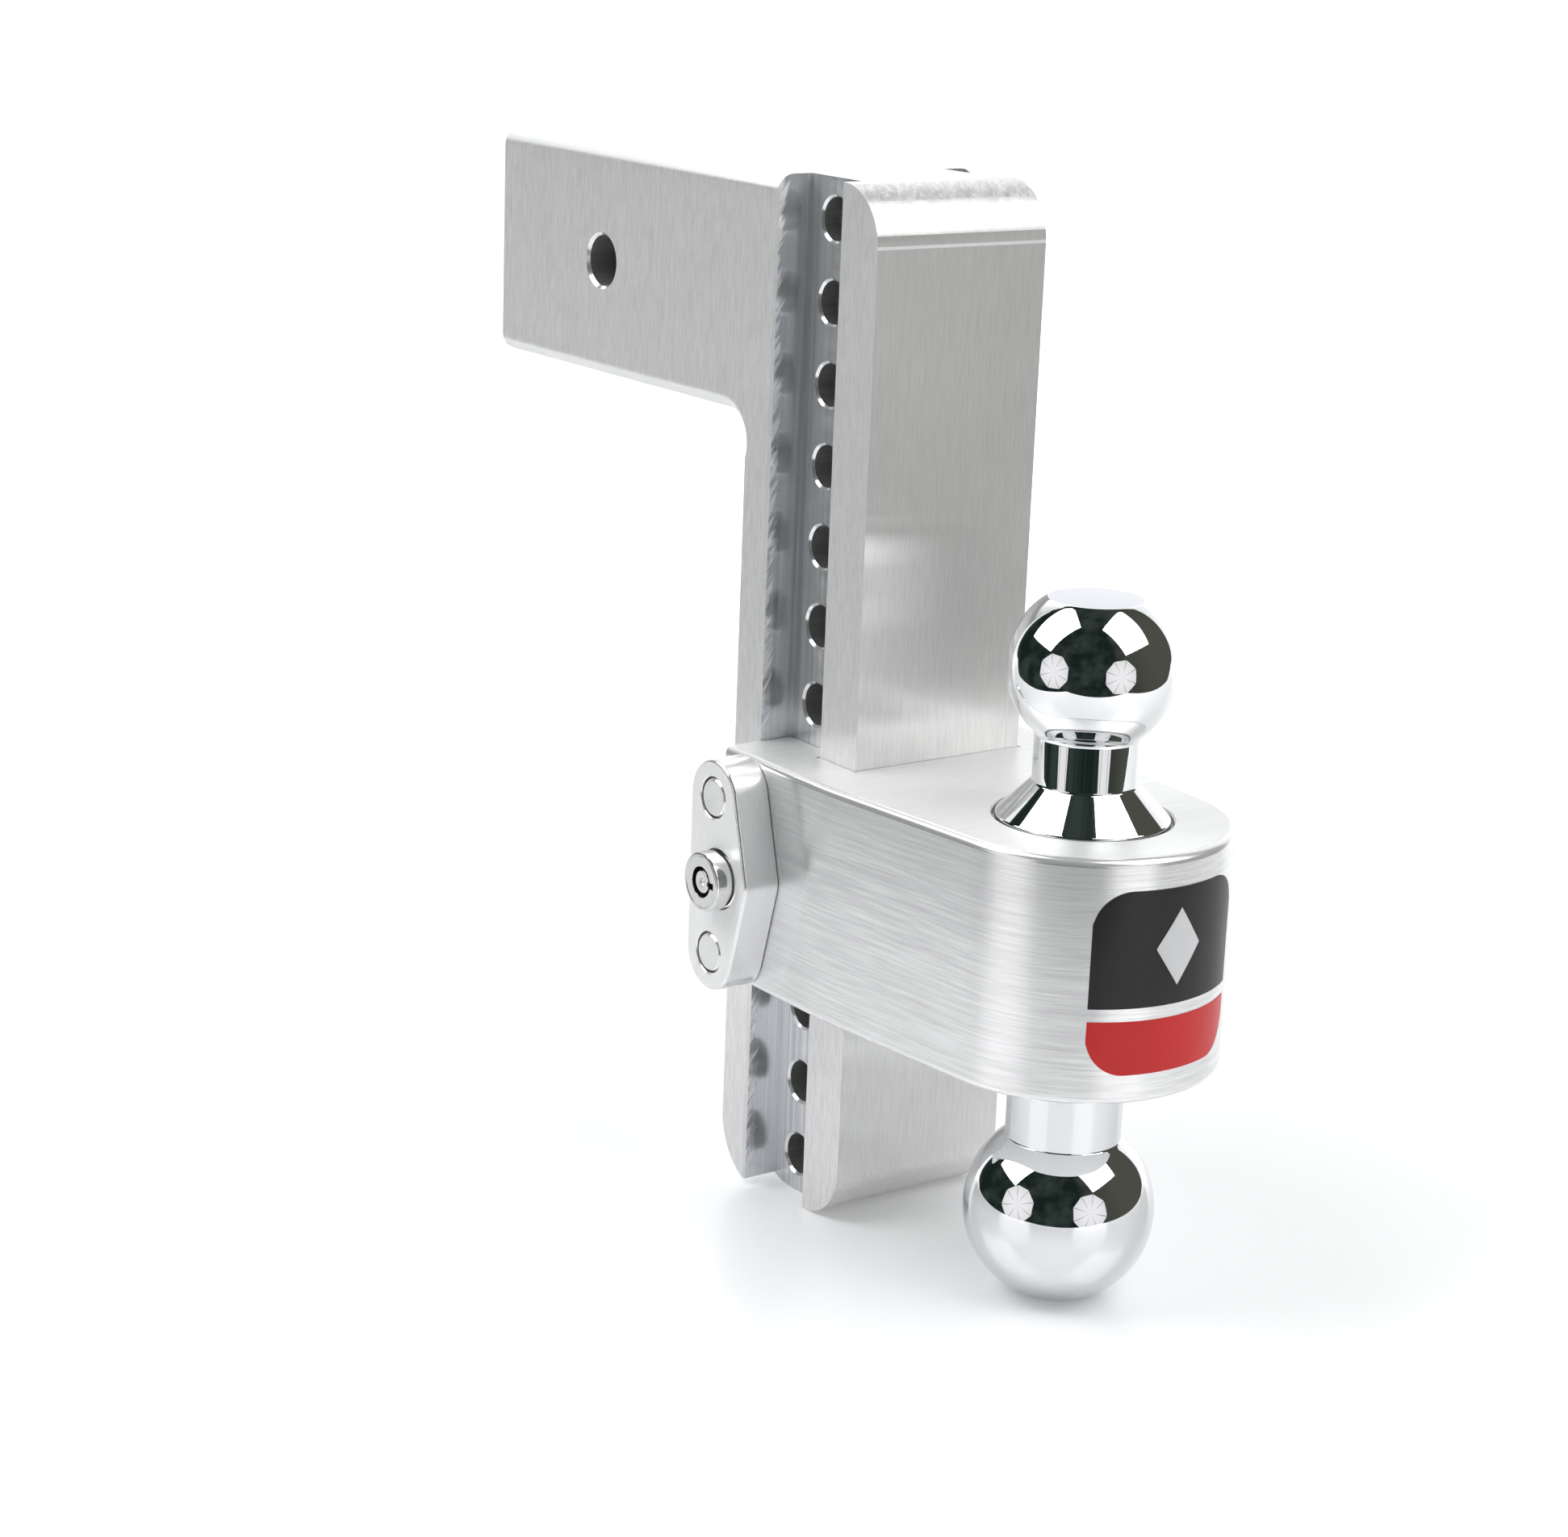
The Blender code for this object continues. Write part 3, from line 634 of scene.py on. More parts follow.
# turned top flat; its tone is kept well below the chrome's as painted shade, to damp its bright
# reflection
BALL_FLAT = turned("ball_flat_painted_shade", ((0.50, 0.51, 0.54), (0.60, 0.61, 0.64)), (0.14, 0.22),
                   (BALL_X, 0, 0), "Z")
LOCK_CHROME = chrome("lock_chrome", ((0.74, 0.745, 0.75), grey(0.86)), (0.07, 0.13),
                     ripple=0.0006)
LOCK_FACE = turned("lock_face", ((0.76, 0.76, 0.755), (0.92, 0.92, 0.91)), (0.17, 0.25),
                   (LOCK_X, 0, MOUNT_Z), "Y", metallic=0.8)
STEEL = grained("turned_steel", ((0.50, 0.51, 0.53), (0.70, 0.71, 0.72)), (0.17, 0.24),
                ALONG_Y, 900, depth=0.01, anisotropy=0.2)
BRASS = grained("turned_brass", ((0.62, 0.46, 0.20), (0.82, 0.64, 0.32)), (0.17, 0.24),
                ALONG_Y, 900, depth=0.01, anisotropy=0.2)
DARK = grained("lock_shadow", (grey(0.010), grey(0.03)), (0.5, 0.7),
               ALONG_Y, 900, depth=0.01, anisotropy=0.0)
BLACK_FILM = film("label_black_film", ((0.012, 0.012, 0.014), (0.022, 0.022, 0.024)))
RED_FILM = film("label_red_film", ((0.57, 0.016, 0.018), (0.66, 0.028, 0.028)))
SILVER_FILM = film("label_silver_film", ((0.62, 0.63, 0.64), (0.78, 0.78, 0.79)))


# ---------------------------------------- drawbar
def hole_z(k):
    return TOP_HOLE_Z - k * HOLE_PITCH


def cross_hole(x, z, radius, half, chamfer, segments):
    """A drill along Y with a countersink at each face, half is the wall's half width."""
    lead = 1.6
    wide = radius + chamfer + lead
    profile = [(0, -half - lead), (wide, -half - lead), (radius, -half + chamfer),
               (radius, half - chamfer), (wide, half + lead), (0, half + lead)]
    return lathe_data(profile, "Y", (x, z), segments)


def make_drawbar():
    elbow_steps, round_steps, edge_steps = 24, 28, 10
    top_gap, channel_depth = 8.0, 60.0
    # The shank's long edges are rounded, and that round fades out down the elbow.
    outline, weights, normals = [(0.0, -TOP)], [1.0], [Vector((0, 1))]
    elbow = arc(RAIL_BACK - ELBOW_ROUND, -TOP - ELBOW_ROUND, ELBOW_ROUND, 90, 0, elbow_steps)
    for k, point in enumerate(elbow):
        turn = math.radians(90 - 90 * k / elbow_steps)
        outline.append(point)
        weights.append(1.0 - (k / elbow_steps) ** 1.4)
        normals.append(Vector((math.cos(turn), math.sin(turn))))
    nose_x = RAIL_FRONT - NOSE_ROUND
    rest = arc(RAIL_BACK + HEEL_ROUND, FOOT + HEEL_ROUND, HEEL_ROUND, 180, 270, round_steps)
    rest += arc(nose_x, FOOT + NOSE_ROUND, NOSE_ROUND, 270, 360, round_steps)
    rest += arc(nose_x, TOP - NOSE_ROUND, NOSE_ROUND, 0, 90, round_steps)
    rest.append((HOLE_X, TOP))
    outline += rest + [(HOLE_X - top_gap, TOP), (0.0, TOP)]
    weights += [0.0] * len(rest) + [1.0, 1.0]
    normals += [Vector((0, -1))] * (len(rest) + 2)
    levels = []
    for y, share in rounded_edge(SHANK / 2, SHANK_ROUND, edge_steps):
        levels.append((inset(outline, normals, [w * SHANK_ROUND * share for w in weights]), y))
    bar = add_mesh("drawbar_body", *loft_data(levels, side_place))

    channels = []
    back, front = CHANNEL_X
    lip = back - LIP_CHAMFER
    for side in (-1, 1):
        plan = [(back, WEB_HALF), (front, WEB_HALF), (front, FLANGE_HALF),
                (RAIL_FRONT + PAST, FLANGE_HALF), (RAIL_FRONT + PAST, channel_depth),
                (lip, channel_depth), (lip, SHANK / 2), (back, SHANK / 2 - LIP_CHAMFER)]
        plan = [(x, side * y) for x, y in plan]
        if side < 0:
            plan.reverse()
        channels.append(loft_data([(plan, FOOT - 10), (plan, TOP + 10)], plan_place))
    cut(bar, merge(*channels))
    holes = [cross_hole(HOLE_X, hole_z(k), HOLE_R, WEB_HALF, HOLE_CHAMFER, 64)
             for k in range(HOLE_COUNT)]
    cut(bar, merge(*holes))
    cut(bar, cross_hole(HITCH_PIN_X, 0.0, HITCH_PIN_R, SHANK / 2, HITCH_PIN_CHAMFER, 96))
    paint(bar, BAR, drawbar_finish)
    smooth(bar, 28, 0.35)
    stand_for(bar, "hitch", "brushed_aluminium", "drawbar")


def drawbar_finish(centre, normal):
    nearest = hole_z(round((TOP_HOLE_Z - centre.z) / HOLE_PITCH))
    from_hole = math.hypot(centre.x - HOLE_X, centre.z - nearest)
    from_pin_hole = math.hypot(centre.x - HITCH_PIN_X, centre.z)
    in_hole = (from_hole < HOLE_R + HOLE_CHAMFER + SLACK
               or from_pin_hole < HITCH_PIN_R + HITCH_PIN_CHAMFER + SLACK)
    if in_hole and abs(normal.y) < 0.9:
        return "rim" if abs(normal.y) > 0.3 else "bore"
    in_channel = CHANNEL_X[0] - LIP_CHAMFER - SLACK < centre.x < CHANNEL_X[1] + SLACK
    if in_channel and abs(centre.y) > WEB_HALF - SLACK and abs(normal.z) < 0.5:
        if centre.x > CHANNEL_X[0] + SLACK:
            return "channel"
        return "wall" if normal.x > 0.9 else "lip"
    if normal.x > 0.9 and 0.01 < normal.z < 0.05:
        return "line"           # painted highlight: a near-white stripe where the front face meets its upper round
    if normal.z > 0.97:
        return "top"
    if abs(normal.y) > 0.95:
        return "side"
    if normal.x > 0.97 or normal.x < -0.97:
        return "front"
    if abs(normal.y) > 0.05 or centre.x < RAIL_BACK + 1:
        return "edge"
    if normal.z < 0:
        return "front"
    return "crown" if normal.z > 0.74 else "round"


make_drawbar()


# ---------------------------------------- ball mount block
def make_mount():
    nose_steps, edge_steps, relief_steps = 96, 9, 10
    tangent = math.degrees(math.atan2(MOUNT_HALF_W, TAPER_X - BALL_X)
                           - math.acos(MOUNT_NOSE_R / math.hypot(TAPER_X - BALL_X, MOUNT_HALF_W)))
    nose = arc(BALL_X, 0.0, MOUNT_NOSE_R, -tangent, tangent, nose_steps)
    slot_x = (CHANNEL_X[1] - GAP, RAIL_FRONT + GAP)
    slot_y = (WEB_HALF + GAP, FLANGE_HALF + GAP)

    def relief(x, y, start_angle):
        return arc(x, y, SLOT_RELIEF_R, start_angle, start_angle - 270, relief_steps)

    outer = ([(MOUNT_BACK, -MOUNT_HALF_W), (TAPER_X, -MOUNT_HALF_W)] + nose
             + [(TAPER_X, MOUNT_HALF_W), (MOUNT_BACK, MOUNT_HALF_W)])
    inner = [(MOUNT_BACK, slot_y[0]), (slot_x[0], slot_y[0])]
    inner += relief(slot_x[0], slot_y[1], 270) + relief(slot_x[1], slot_y[1], 180)
    inner += relief(slot_x[1], -slot_y[1], 90) + relief(slot_x[0], -slot_y[1], 0)
    inner += [(slot_x[0], -slot_y[0]), (MOUNT_BACK, -slot_y[0])]
    plan = outer + inner
    # The share of MOUNT_EDGE rounded off at each point: most at the nose, none in the slot.
    edge = [0.75, 0.8]
    edge += [0.8 + 0.4 * math.sin(math.pi * k / nose_steps) for k in range(nose_steps + 1)]
    edge += [0.8, 0.75] + [0.0] * len(inner)
    toward = inward(plan)
    toward[0] = Vector((0, 1))
    toward[len(outer) - 1] = Vector((0, -1))
    levels = []
    for z, share in rounded_edge(MOUNT_HALF_H, MOUNT_EDGE, edge_steps):
        amounts = [w * MOUNT_EDGE * share for w in edge]
        levels.append((inset(plan, toward, amounts), MOUNT_Z + z))
    block = add_mesh("ball_mount_body", *loft_data(levels, plan_place))

    top_z, bottom_z = mount_high.z, mount_low.z
    bore_r, recess_r = NECK_LO_R + GAP, FLARE_R + 0.9
    ball_bore = [(0, bottom_z - 3), (bore_r + 3.6, bottom_z - 3), (bore_r, bottom_z + 0.6),
                 (bore_r, top_z - RECESS), (recess_r, top_z - RECESS), (recess_r, top_z - 0.5),
                 (recess_r + 3.5, top_z + 3), (0, top_z + 3)]
    bores = [cross_hole(HOLE_X, MOUNT_Z + s * HOLE_PITCH, PIN_R + GAP, MOUNT_HALF_W, 0.6, 64)
             for s in (-1, 1)]
    pocket = [(0, -MOUNT_HALF_W - 2), (POCKET_R, -MOUNT_HALF_W - 2), (POCKET_R, POCKET_FLOOR_Y),
              (0, POCKET_FLOOR_Y)]
    cut(block, merge(lathe_data(ball_bore, "Z", (BALL_X, 0.0), 128), *bores,
                     lathe_data(pocket, "Y", (LOCK_X, MOUNT_Z), 96)))
    smooth(block, 28, 0.3)
    paint(block, MOUNT, mount_finish)
    stand_for(block, "hitch", "brushed_aluminium", "ball_mount")


def mount_finish(centre, normal):
    from_axis = math.hypot(centre.x - BALL_X, centre.y)
    if from_axis < FLARE_R + 1.6 and abs(normal.z) < 0.9:
        return "bore"
    if abs(normal.z) > 0.95:
        return "top"
    if normal.x < -0.2 and centre.x < MOUNT_BACK + 0.5:
        return "slot"
    if abs(normal.z) > 0.2:
        return "edge"
    if abs(centre.y) < MOUNT_HALF_W - 0.5 and centre.x < RAIL_FRONT + 2:
        return "slot"
    return "side"


make_mount()


# ---------------------------------------- balls
def ball_profile(radius, centre, start, end, count):
    """Points down a sphere between two polar angles from straight up, in degrees."""
    angles = [math.radians(start + (end - start) * k / count) for k in range(count + 1)]
    return [(radius * math.sin(a), centre + radius * math.cos(a)) for a in angles]


def ball_finish(centre, normal):
    return "flat" if abs(normal.z) > 0.995 else "ball"


def make_ball(node, profile):
    ball = add_mesh(node + "_body", *lathe_data(rounded(profile, 6), "Z", (BALL_X, 0.0), 160))
    paint(ball, {"ball": CHROME, "flat": BALL_FLAT}, ball_finish)
    smooth(ball, 30)
    stand_for(ball, "hitch", "chrome", node)


def make_balls():
    stations, flat_round = 64, 0.35
    seat_z, seat_r = mount_high.z - RECESS + GAP, NECK_LO_R - 0.1
    top_angle = math.degrees(math.asin(FLAT_UP_R / BALL_UP_R))
    neck_angle = 180 - math.degrees(math.asin((NECK_UP_R + 0.9) / BALL_UP_R))
    ball = ball_profile(BALL_UP_R, BALL_UP_Z, top_angle, neck_angle, stations)
    rim_r, rim_z = ball[0]
    neck_r, neck_z = ball[-1]
    make_ball("upper_ball", [
        (0, upper_high.z), (rim_r - flat_round, upper_high.z), (rim_r + 0.02, rim_z - 0.12),
        *ball[1:-1], (neck_r, neck_z, 0.5), (NECK_UP_R, neck_z - 1.0, 0.8),
        (NECK_UP_R, NECK_UP_FOOT_Z, 0.5), (FLARE_R, mount_high.z + 0.15, 0.5), (FLARE_R, seat_z),
        (seat_r, seat_z), (seat_r, upper_low.z), (STUD_BORE_R, upper_low.z),
        (STUD_BORE_R, STUD_TOP_Z), (0, STUD_TOP_Z)])

    flat_r = math.sqrt(BALL_LO_R ** 2 - (BALL_LO_Z - FOOT) ** 2)
    low_angle = 180 - math.degrees(math.asin(flat_r / BALL_LO_R))
    join_angle = math.degrees(math.asin((NECK_LO_R + 0.4) / BALL_LO_R))
    ball = ball_profile(BALL_LO_R, BALL_LO_Z, join_angle, low_angle, stations)
    make_ball("lower_ball", [
        (0, STUD_FOOT_Z), (STUD_BORE_R, STUD_FOOT_Z), (STUD_BORE_R, lower_high.z),
        (NECK_LO_R, lower_high.z, 0.8), (NECK_LO_R, ball[0][1] + 0.5, 0.4),
        *ball[:-1], (flat_r + 0.02, FOOT + 0.15), (flat_r - flat_round, FOOT), (0, FOOT)])


make_balls()


# ---------------------------------------- lock plate and pins
def make_plate():
    circles = [(HOLE_X, MOUNT_Z + HOLE_PITCH, PLATE_END_R),
               (HOLE_X, MOUNT_Z - HOLE_PITCH, PLATE_END_R), (PLATE_SIDE_X, MOUNT_Z, PLATE_SIDE_R)]
    diamond = hull([p for x, z, r in circles for p in arc(x, z, r, 0, 360, 180)])
    toward = inward(diamond)
    amounts = [(0.4, PLATE_BACK_Y), (0.0, PLATE_BACK_Y - 0.4), (0.0, PLATE_FACE_Y + 0.9),
               (0.12, PLATE_FACE_Y + 0.55), (0.55, PLATE_FACE_Y + 0.12), (0.9, PLATE_FACE_Y)]
    levels = [(inset(diamond, toward, [a] * len(diamond)), y) for a, y in amounts]
    plate = add_mesh("pin_plate_body", *loft_data(levels, side_place))
    wide, narrow = SHELL_R + GAP, SHELL_REAR_R + GAP
    lock_bore = [(0, PLATE_FACE_Y - 2), (wide, PLATE_FACE_Y - 2), (wide, SHELL_SHOULDER_Y),
                 (narrow, SHELL_SHOULDER_Y), (narrow, PLATE_BACK_Y + 2), (0, PLATE_BACK_Y + 2)]
    tools = [lathe_data(lock_bore, "Y", (LOCK_X, MOUNT_Z), 96)]
    r = PIN_R + GAP
    pin_bore = [(0, PLATE_FACE_Y - 1), (r + 1.4, PLATE_FACE_Y - 1), (r, PLATE_FACE_Y + 0.4),
                (r, PLATE_BACK_Y + 1), (0, PLATE_BACK_Y + 1)]
    for s in (-1, 1):
        tools.append(lathe_data(pin_bore, "Y", (HOLE_X, MOUNT_Z + s * HOLE_PITCH), 96))
    cut(plate, merge(*tools))
    paint(plate, PLATE, plate_finish)
    smooth(plate, 24, 0.12)
    stand_for(plate, "lock_pins", "brushed_aluminium", "pin_plate")


def plate_finish(centre, normal):
    if abs(normal.y) > 0.97:
        return "face"
    if abs(normal.y) > 0.15:
        return "edge"
    holes = ((HOLE_X, HOLE_PITCH), (HOLE_X, -HOLE_PITCH), (LOCK_X, 0.0))
    from_hole = min(math.hypot(centre.x - x, centre.z - MOUNT_Z - z) for x, z in holes)
    return "bore" if from_hole < SHELL_R + 2 * GAP else "side"


def pin_finish(centre, normal):
    if abs(normal.y) > 0.9:
        return "end"
    return "chamfer" if normal.y < -0.3 else "shaft"


def make_pins():
    end, chamfer, tip = pin_low.y, 0.8, 1.9
    for name, s in (("upper_lock_pin", 1), ("lower_lock_pin", -1)):
        z = MOUNT_Z + s * HOLE_PITCH
        profile = [(0, end + 0.25), (0.5, end + 0.05), (PIN_R - chamfer, end, 0.15),
                   (PIN_R, end + chamfer, 0.15), (PIN_R, PIN_END_Y - tip - 0.3, 0.6),
                   (PIN_R - tip, PIN_END_Y, 0.6), (0, PIN_END_Y)]
        pin = add_mesh(name + "_body", *lathe_data(rounded(profile), "Y", (HOLE_X, z), 96))
        faced = turned(name + "_end", ((0.86, 0.86, 0.855), (1.0, 1.0, 0.99)), (0.17, 0.25),
                       (HOLE_X, 0, z), "Y", frequency=700, metallic=0.65)
        paint(pin, {"shaft": STEEL, "end": faced, "chamfer": PLATE["edge"]}, pin_finish)
        smooth(pin, 30)
        stand_for(pin, "lock_pins", "steel", name)


make_plate()
make_pins()


# ---------------------------------------- tubular key lock
KEYWAY_R = (3.85, 4.95)         # the ring that the key goes into
POST_R = 3.45
FACE = LOCK_FACE_Y


def from_lock_axis(centre):
    return math.hypot(centre.x - LOCK_X, centre.z - MOUNT_Z)


def shell_finish(centre, normal):
    if from_lock_axis(centre) < 6.5 and centre.y > FACE + 0.2:
        return "dark"
    return "face" if normal.y < -0.9 else "wall"


def rotor_finish(centre, normal):
    return "post" if from_lock_axis(centre) < 3.6 and centre.y < FACE + 1.5 else "dark"


def make_shell():
    neck_y, neck_r, lining_r = PLATE_FACE_Y - 1.6, SHELL_R - 0.7, 5.9
    rear_y, keyway_end = shell_high.y, FACE + 3.2
    profile = [(KEYWAY_R[1], FACE, 0.15), (8.05, FACE), (8.15, FACE + 0.25), (8.35, FACE + 0.25),
               (8.45, FACE), (9.0, FACE), (9.3, FACE + 0.12), (SHELL_R, FACE + 0.5),
               (SHELL_R, neck_y - 0.2), (neck_r, neck_y + 0.2), (neck_r, neck_y + 1.9),
               (SHELL_R, neck_y + 2.3), (SHELL_R, SHELL_SHOULDER_Y - GAP),
               (SHELL_REAR_R, SHELL_SHOULDER_Y - GAP), (SHELL_REAR_R, rear_y, 0.4),
               (lining_r, rear_y, 0.3), (lining_r, keyway_end), (KEYWAY_R[1], keyway_end)]
    shell = add_mesh("lock_shell_body",
                     *lathe_data(rounded(profile), "Y", (LOCK_X, MOUNT_Z), 128))
    cut(shell, box_data((LOCK_X + 4.2, LOCK_X + 6.8), (FACE - 2, FACE + 3.9),
                        (MOUNT_Z - 1.05, MOUNT_Z + 1.05)))
    paint(shell, {"wall": LOCK_CHROME, "face": LOCK_FACE, "dark": DARK}, shell_finish)
    smooth(shell, 28)
    stand_for(shell, "lock_pins", "chrome", "lock_shell")


def make_rotor():
    front, shear, spindle_end, tip_end, screw_hole_end = -64.0, -56.3, -42.7, -40.5, -45.5
    core_r, spindle_r, tip_r, screw_r = 5.55, 2.3, 1.6, 0.95
    profile = [(0, FACE + 0.6), (0.45, FACE + 0.6), (0.75, FACE + 1.0), (1.35, FACE + 1.0, 0.1),
               (1.35, FACE + 0.4, 0.15), (POST_R, FACE + 0.4, 0.15), (KEYWAY_R[0], FACE + 0.8),
               (KEYWAY_R[0], front), (core_r, front), (core_r, shear), (spindle_r, shear),
               (spindle_r, spindle_end), (tip_r, spindle_end), (tip_r, tip_end),
               (screw_r, tip_end), (screw_r, screw_hole_end), (0, screw_hole_end)]
    rotor = add_mesh("lock_rotor_body", *lathe_data(rounded(profile), "Y", (LOCK_X, MOUNT_Z), 96))
    pin_circle, pin_bore = 4.3, 0.82
    tools = [box_data((LOCK_X + 2.9, LOCK_X + 4.6), (FACE - 1, front - 0.3),
                      (MOUNT_Z - 0.8, MOUNT_Z + 0.8))]
    drill = [(0, FACE - 1), (pin_bore, FACE - 1), (pin_bore, shear + 0.5), (0, shear + 0.5)]
    for k in range(7):
        a = math.radians(45 * (k + 1))
        spot = (LOCK_X + pin_circle * math.cos(a), MOUNT_Z + pin_circle * math.sin(a))
        tools.append(lathe_data(drill, "Y", spot, 24))
    cut(rotor, merge(*tools))
    paint(rotor, {"post": LOCK_FACE, "dark": DARK}, rotor_finish)
    smooth(rotor, 28)
    stand_for(rotor, "lock_core", "steel", "lock_rotor")


make_shell()
make_rotor()


# ---------------------------------------- front label
def make_label(node, finish, slot, columns, low, high, lift, thick):
    """A thin curved plate on the nose; low and high give its Z limits at each column's angle."""
    verts, faces = [], []
    for angle in columns:
        c, s = math.cos(math.radians(angle)), math.sin(math.radians(angle))
        for r in (MOUNT_NOSE_R + lift, MOUNT_NOSE_R + lift + thick):
            for z in (low(angle), high(angle)):
                verts.append((BALL_X + r * c, r * s, z))
    for i in range(len(columns) - 1):
        a, b = 4 * i, 4 * i + 4
        for p, q in ((0, 1), (1, 3), (3, 2), (2, 0)):
            faces.append([a + p, a + q, b + q, b + p])
    last = 4 * (len(columns) - 1)
    faces += [[0, 1, 3, 2], [last, last + 2, last + 3, last + 1]]
    piece = add_mesh(node + "_film", verts, faces)
    piece.data.materials.append(finish)
    smooth(piece, 30)
    stand_for(piece, "hitch", slot, node)


def half_angle(node_high, radius):
    """Degrees from the middle of the nose to a label's edge."""
    return math.degrees(math.asin(node_high.y / radius))


def make_labels():
    field_low, field_high = box_mm("label_field")
    band_low, band_high = box_mm("label_band")
    mark_low, mark_high = box_mm("label_mark")
    lift, thick, mark_lift, mark_thick, corner = 0.05, 0.15, 0.26, 0.12, 12.0
    span = half_angle(field_high, MOUNT_NOSE_R + 0.28)

    def drop(angle):
        """How far a rounded corner pulls the edge in at an angle from the middle."""
        reach = math.radians(abs(angle) - span) * MOUNT_NOSE_R + corner
        if reach <= 0:
            return 0.0
        return corner - math.sqrt(max(0.0, corner ** 2 - min(reach, 0.985 * corner) ** 2))

    columns = [span * k / 60 for k in range(-60, 61)]
    make_label("label_field", BLACK_FILM, "label_black", columns, lambda a: field_low.z,
               lambda a: field_high.z - drop(a), lift, thick)
    make_label("label_band", RED_FILM, "label_red", columns, lambda a: band_low.z + drop(a),
               lambda a: band_high.z, lift, thick)

    middle, half = (mark_low.z + mark_high.z) / 2, (mark_high.z - mark_low.z) / 2
    reach = half_angle(mark_high, MOUNT_NOSE_R + 0.48)

    def height(angle):
        """Half the lozenge's height at an angle; 1.02 keeps its side corners from closing up."""
        return half * (1.02 - abs(angle) / reach)

    marks = [reach * k / 16 for k in range(-16, 17)]
    make_label("label_mark", SILVER_FILM, "label_silver", marks, lambda a: middle - height(a),
               lambda a: middle + height(a), mark_lift, mark_thick)


make_labels()

# ---------------------------------------- CAD nodes that stay
KEPT = {"ball_stud": STEEL, "lock_nut": STEEL, "lock_cam": STEEL, "cam_screw": STEEL,
        "lock_sleeve": BRASS}
for number in range(1, 8):
    KEPT[f"key_pin_{number}"] = BRASS
    KEPT[f"driver_pin_{number}"] = STEEL
    KEPT[f"tumbler_spring_{number}"] = STEEL
for node, finish in KEPT.items():
    node_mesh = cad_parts[node].data
    node_mesh.materials.clear()
    node_mesh.materials.append(finish)


# ---------------------------------------- studio, in metres
CAMERA_AT = (0.99208, -0.62546, 0.13361)
CAMERA_AZIMUTH, CAMERA_ELEVATION, CAMERA_ROLL = 54.222, 15.544, 2.173
CAMERA_LENS = 75.97


def direction(azimuth, elevation):
    """Unit vector from the object, azimuth 0 towards -Y and 90 towards +X."""
    a, e = math.radians(azimuth), math.radians(elevation)
    return Vector((math.sin(a) * math.cos(e), -math.cos(a) * math.cos(e), math.sin(e)))


def make_camera():
    data = bpy.data.cameras.new("camera")
    data.lens = CAMERA_LENS
    data.clip_start, data.clip_end = 0.05, 200.0
    camera = link("camera", data)
    back = direction(CAMERA_AZIMUTH, CAMERA_ELEVATION)
    level = direction(CAMERA_AZIMUTH + 90, 0.0)
    upward = back.cross(level)
    roll = math.radians(CAMERA_ROLL)
    right = level * math.cos(roll) + upward * math.sin(roll)
    up = upward * math.cos(roll) - level * math.sin(roll)
    pose = camera.matrix_world.copy()
    for row in range(3):
        pose[row][0:4] = right[row], up[row], back[row], CAMERA_AT[row]
    camera.matrix_world = pose
    bpy.context.scene.camera = camera


def glow(name, tone, near, far, begin, reach):
    """Pale paper that adds light of its own: near within begin, far beyond reach."""
    mat, tree, shader = start(name, 0.0, Roughness=0.22)
    shader.inputs["Base Color"].default_value = (tone, tone * 1.006, tone * 1.017, 1.0)
    shader.inputs["Emission Color"].default_value = (0.985, 0.99, 1.0, 1.0)
    feed(tree, shader, Emission_Strength=spread(tree, from_origin(tree), near, far, begin, reach))
    return mat


def light_cloth(name, strength):
    """Lit cloth whose light falls off a little towards the rim."""
    rim, rim_share = 0.32, 0.78
    mat, tree, light = shining(name, (1.0, 0.985, 1.0))
    feed(tree, light, Strength=spread(tree, from_origin(tree), strength, strength * rim_share,
                                      0.0, rim))
    return mat


def stage_mesh(name, verts, faces, finish, camera=True, others=True):
    """A stage object; camera and others say which rays meet it."""
    mesh = bpy.data.meshes.new(name)
    mesh.from_pydata(verts, [], faces)
    mesh.materials.append(finish)
    obj = link(name, mesh)
    obj.visible_camera = camera
    obj.visible_glossy = obj.visible_diffuse = others
    obj.visible_transmission = obj.visible_shadow = others
    return obj


def make_table(floor_z, centre):
    """A table top that ends in front of the object and sweeps up into a backdrop behind it."""
    ahead = direction(CAMERA_AZIMUTH, 0.0)
    across = direction(CAMERA_AZIMUTH + 90, 0.0)
    far, bend, wide, below = 1.7, 0.6, 2.7, 0.0006
    sweep = [(-far - bend * math.sin(math.radians(t)), bend - bend * math.cos(math.radians(t)))
             for t in range(10, 91, 10)]
    # Each row is (distance towards the camera, height, reach to the left, reach to the right).
    rows = [(0.42, 0.0, 0.32, 0.40), (0.05, 0.0, 0.48, 0.60), (-0.35, 0.0, 0.72, 0.84)]
    rows += [(along, height, wide, wide) for along, height in
             [(-far, 0.0)] + sweep + [(-far - bend, 1.3), (-far - bend, 3.2)]]
    verts, faces = [], []
    for along, height, left, right in rows:
        for side in (-left, right):
            point = centre + ahead * along + across * side
            verts.append((point.x, point.y, floor_z - below + height))
    for k in range(len(rows) - 1):
        faces.append([2 * k, 2 * k + 1, 2 * k + 3, 2 * k + 2])
    paper = glow("table_paper", 0.75, 0.0, 0.95, 0.2, 1.5)
    stage_mesh("table", verts, faces, paper, camera=False).data.shade_smooth()


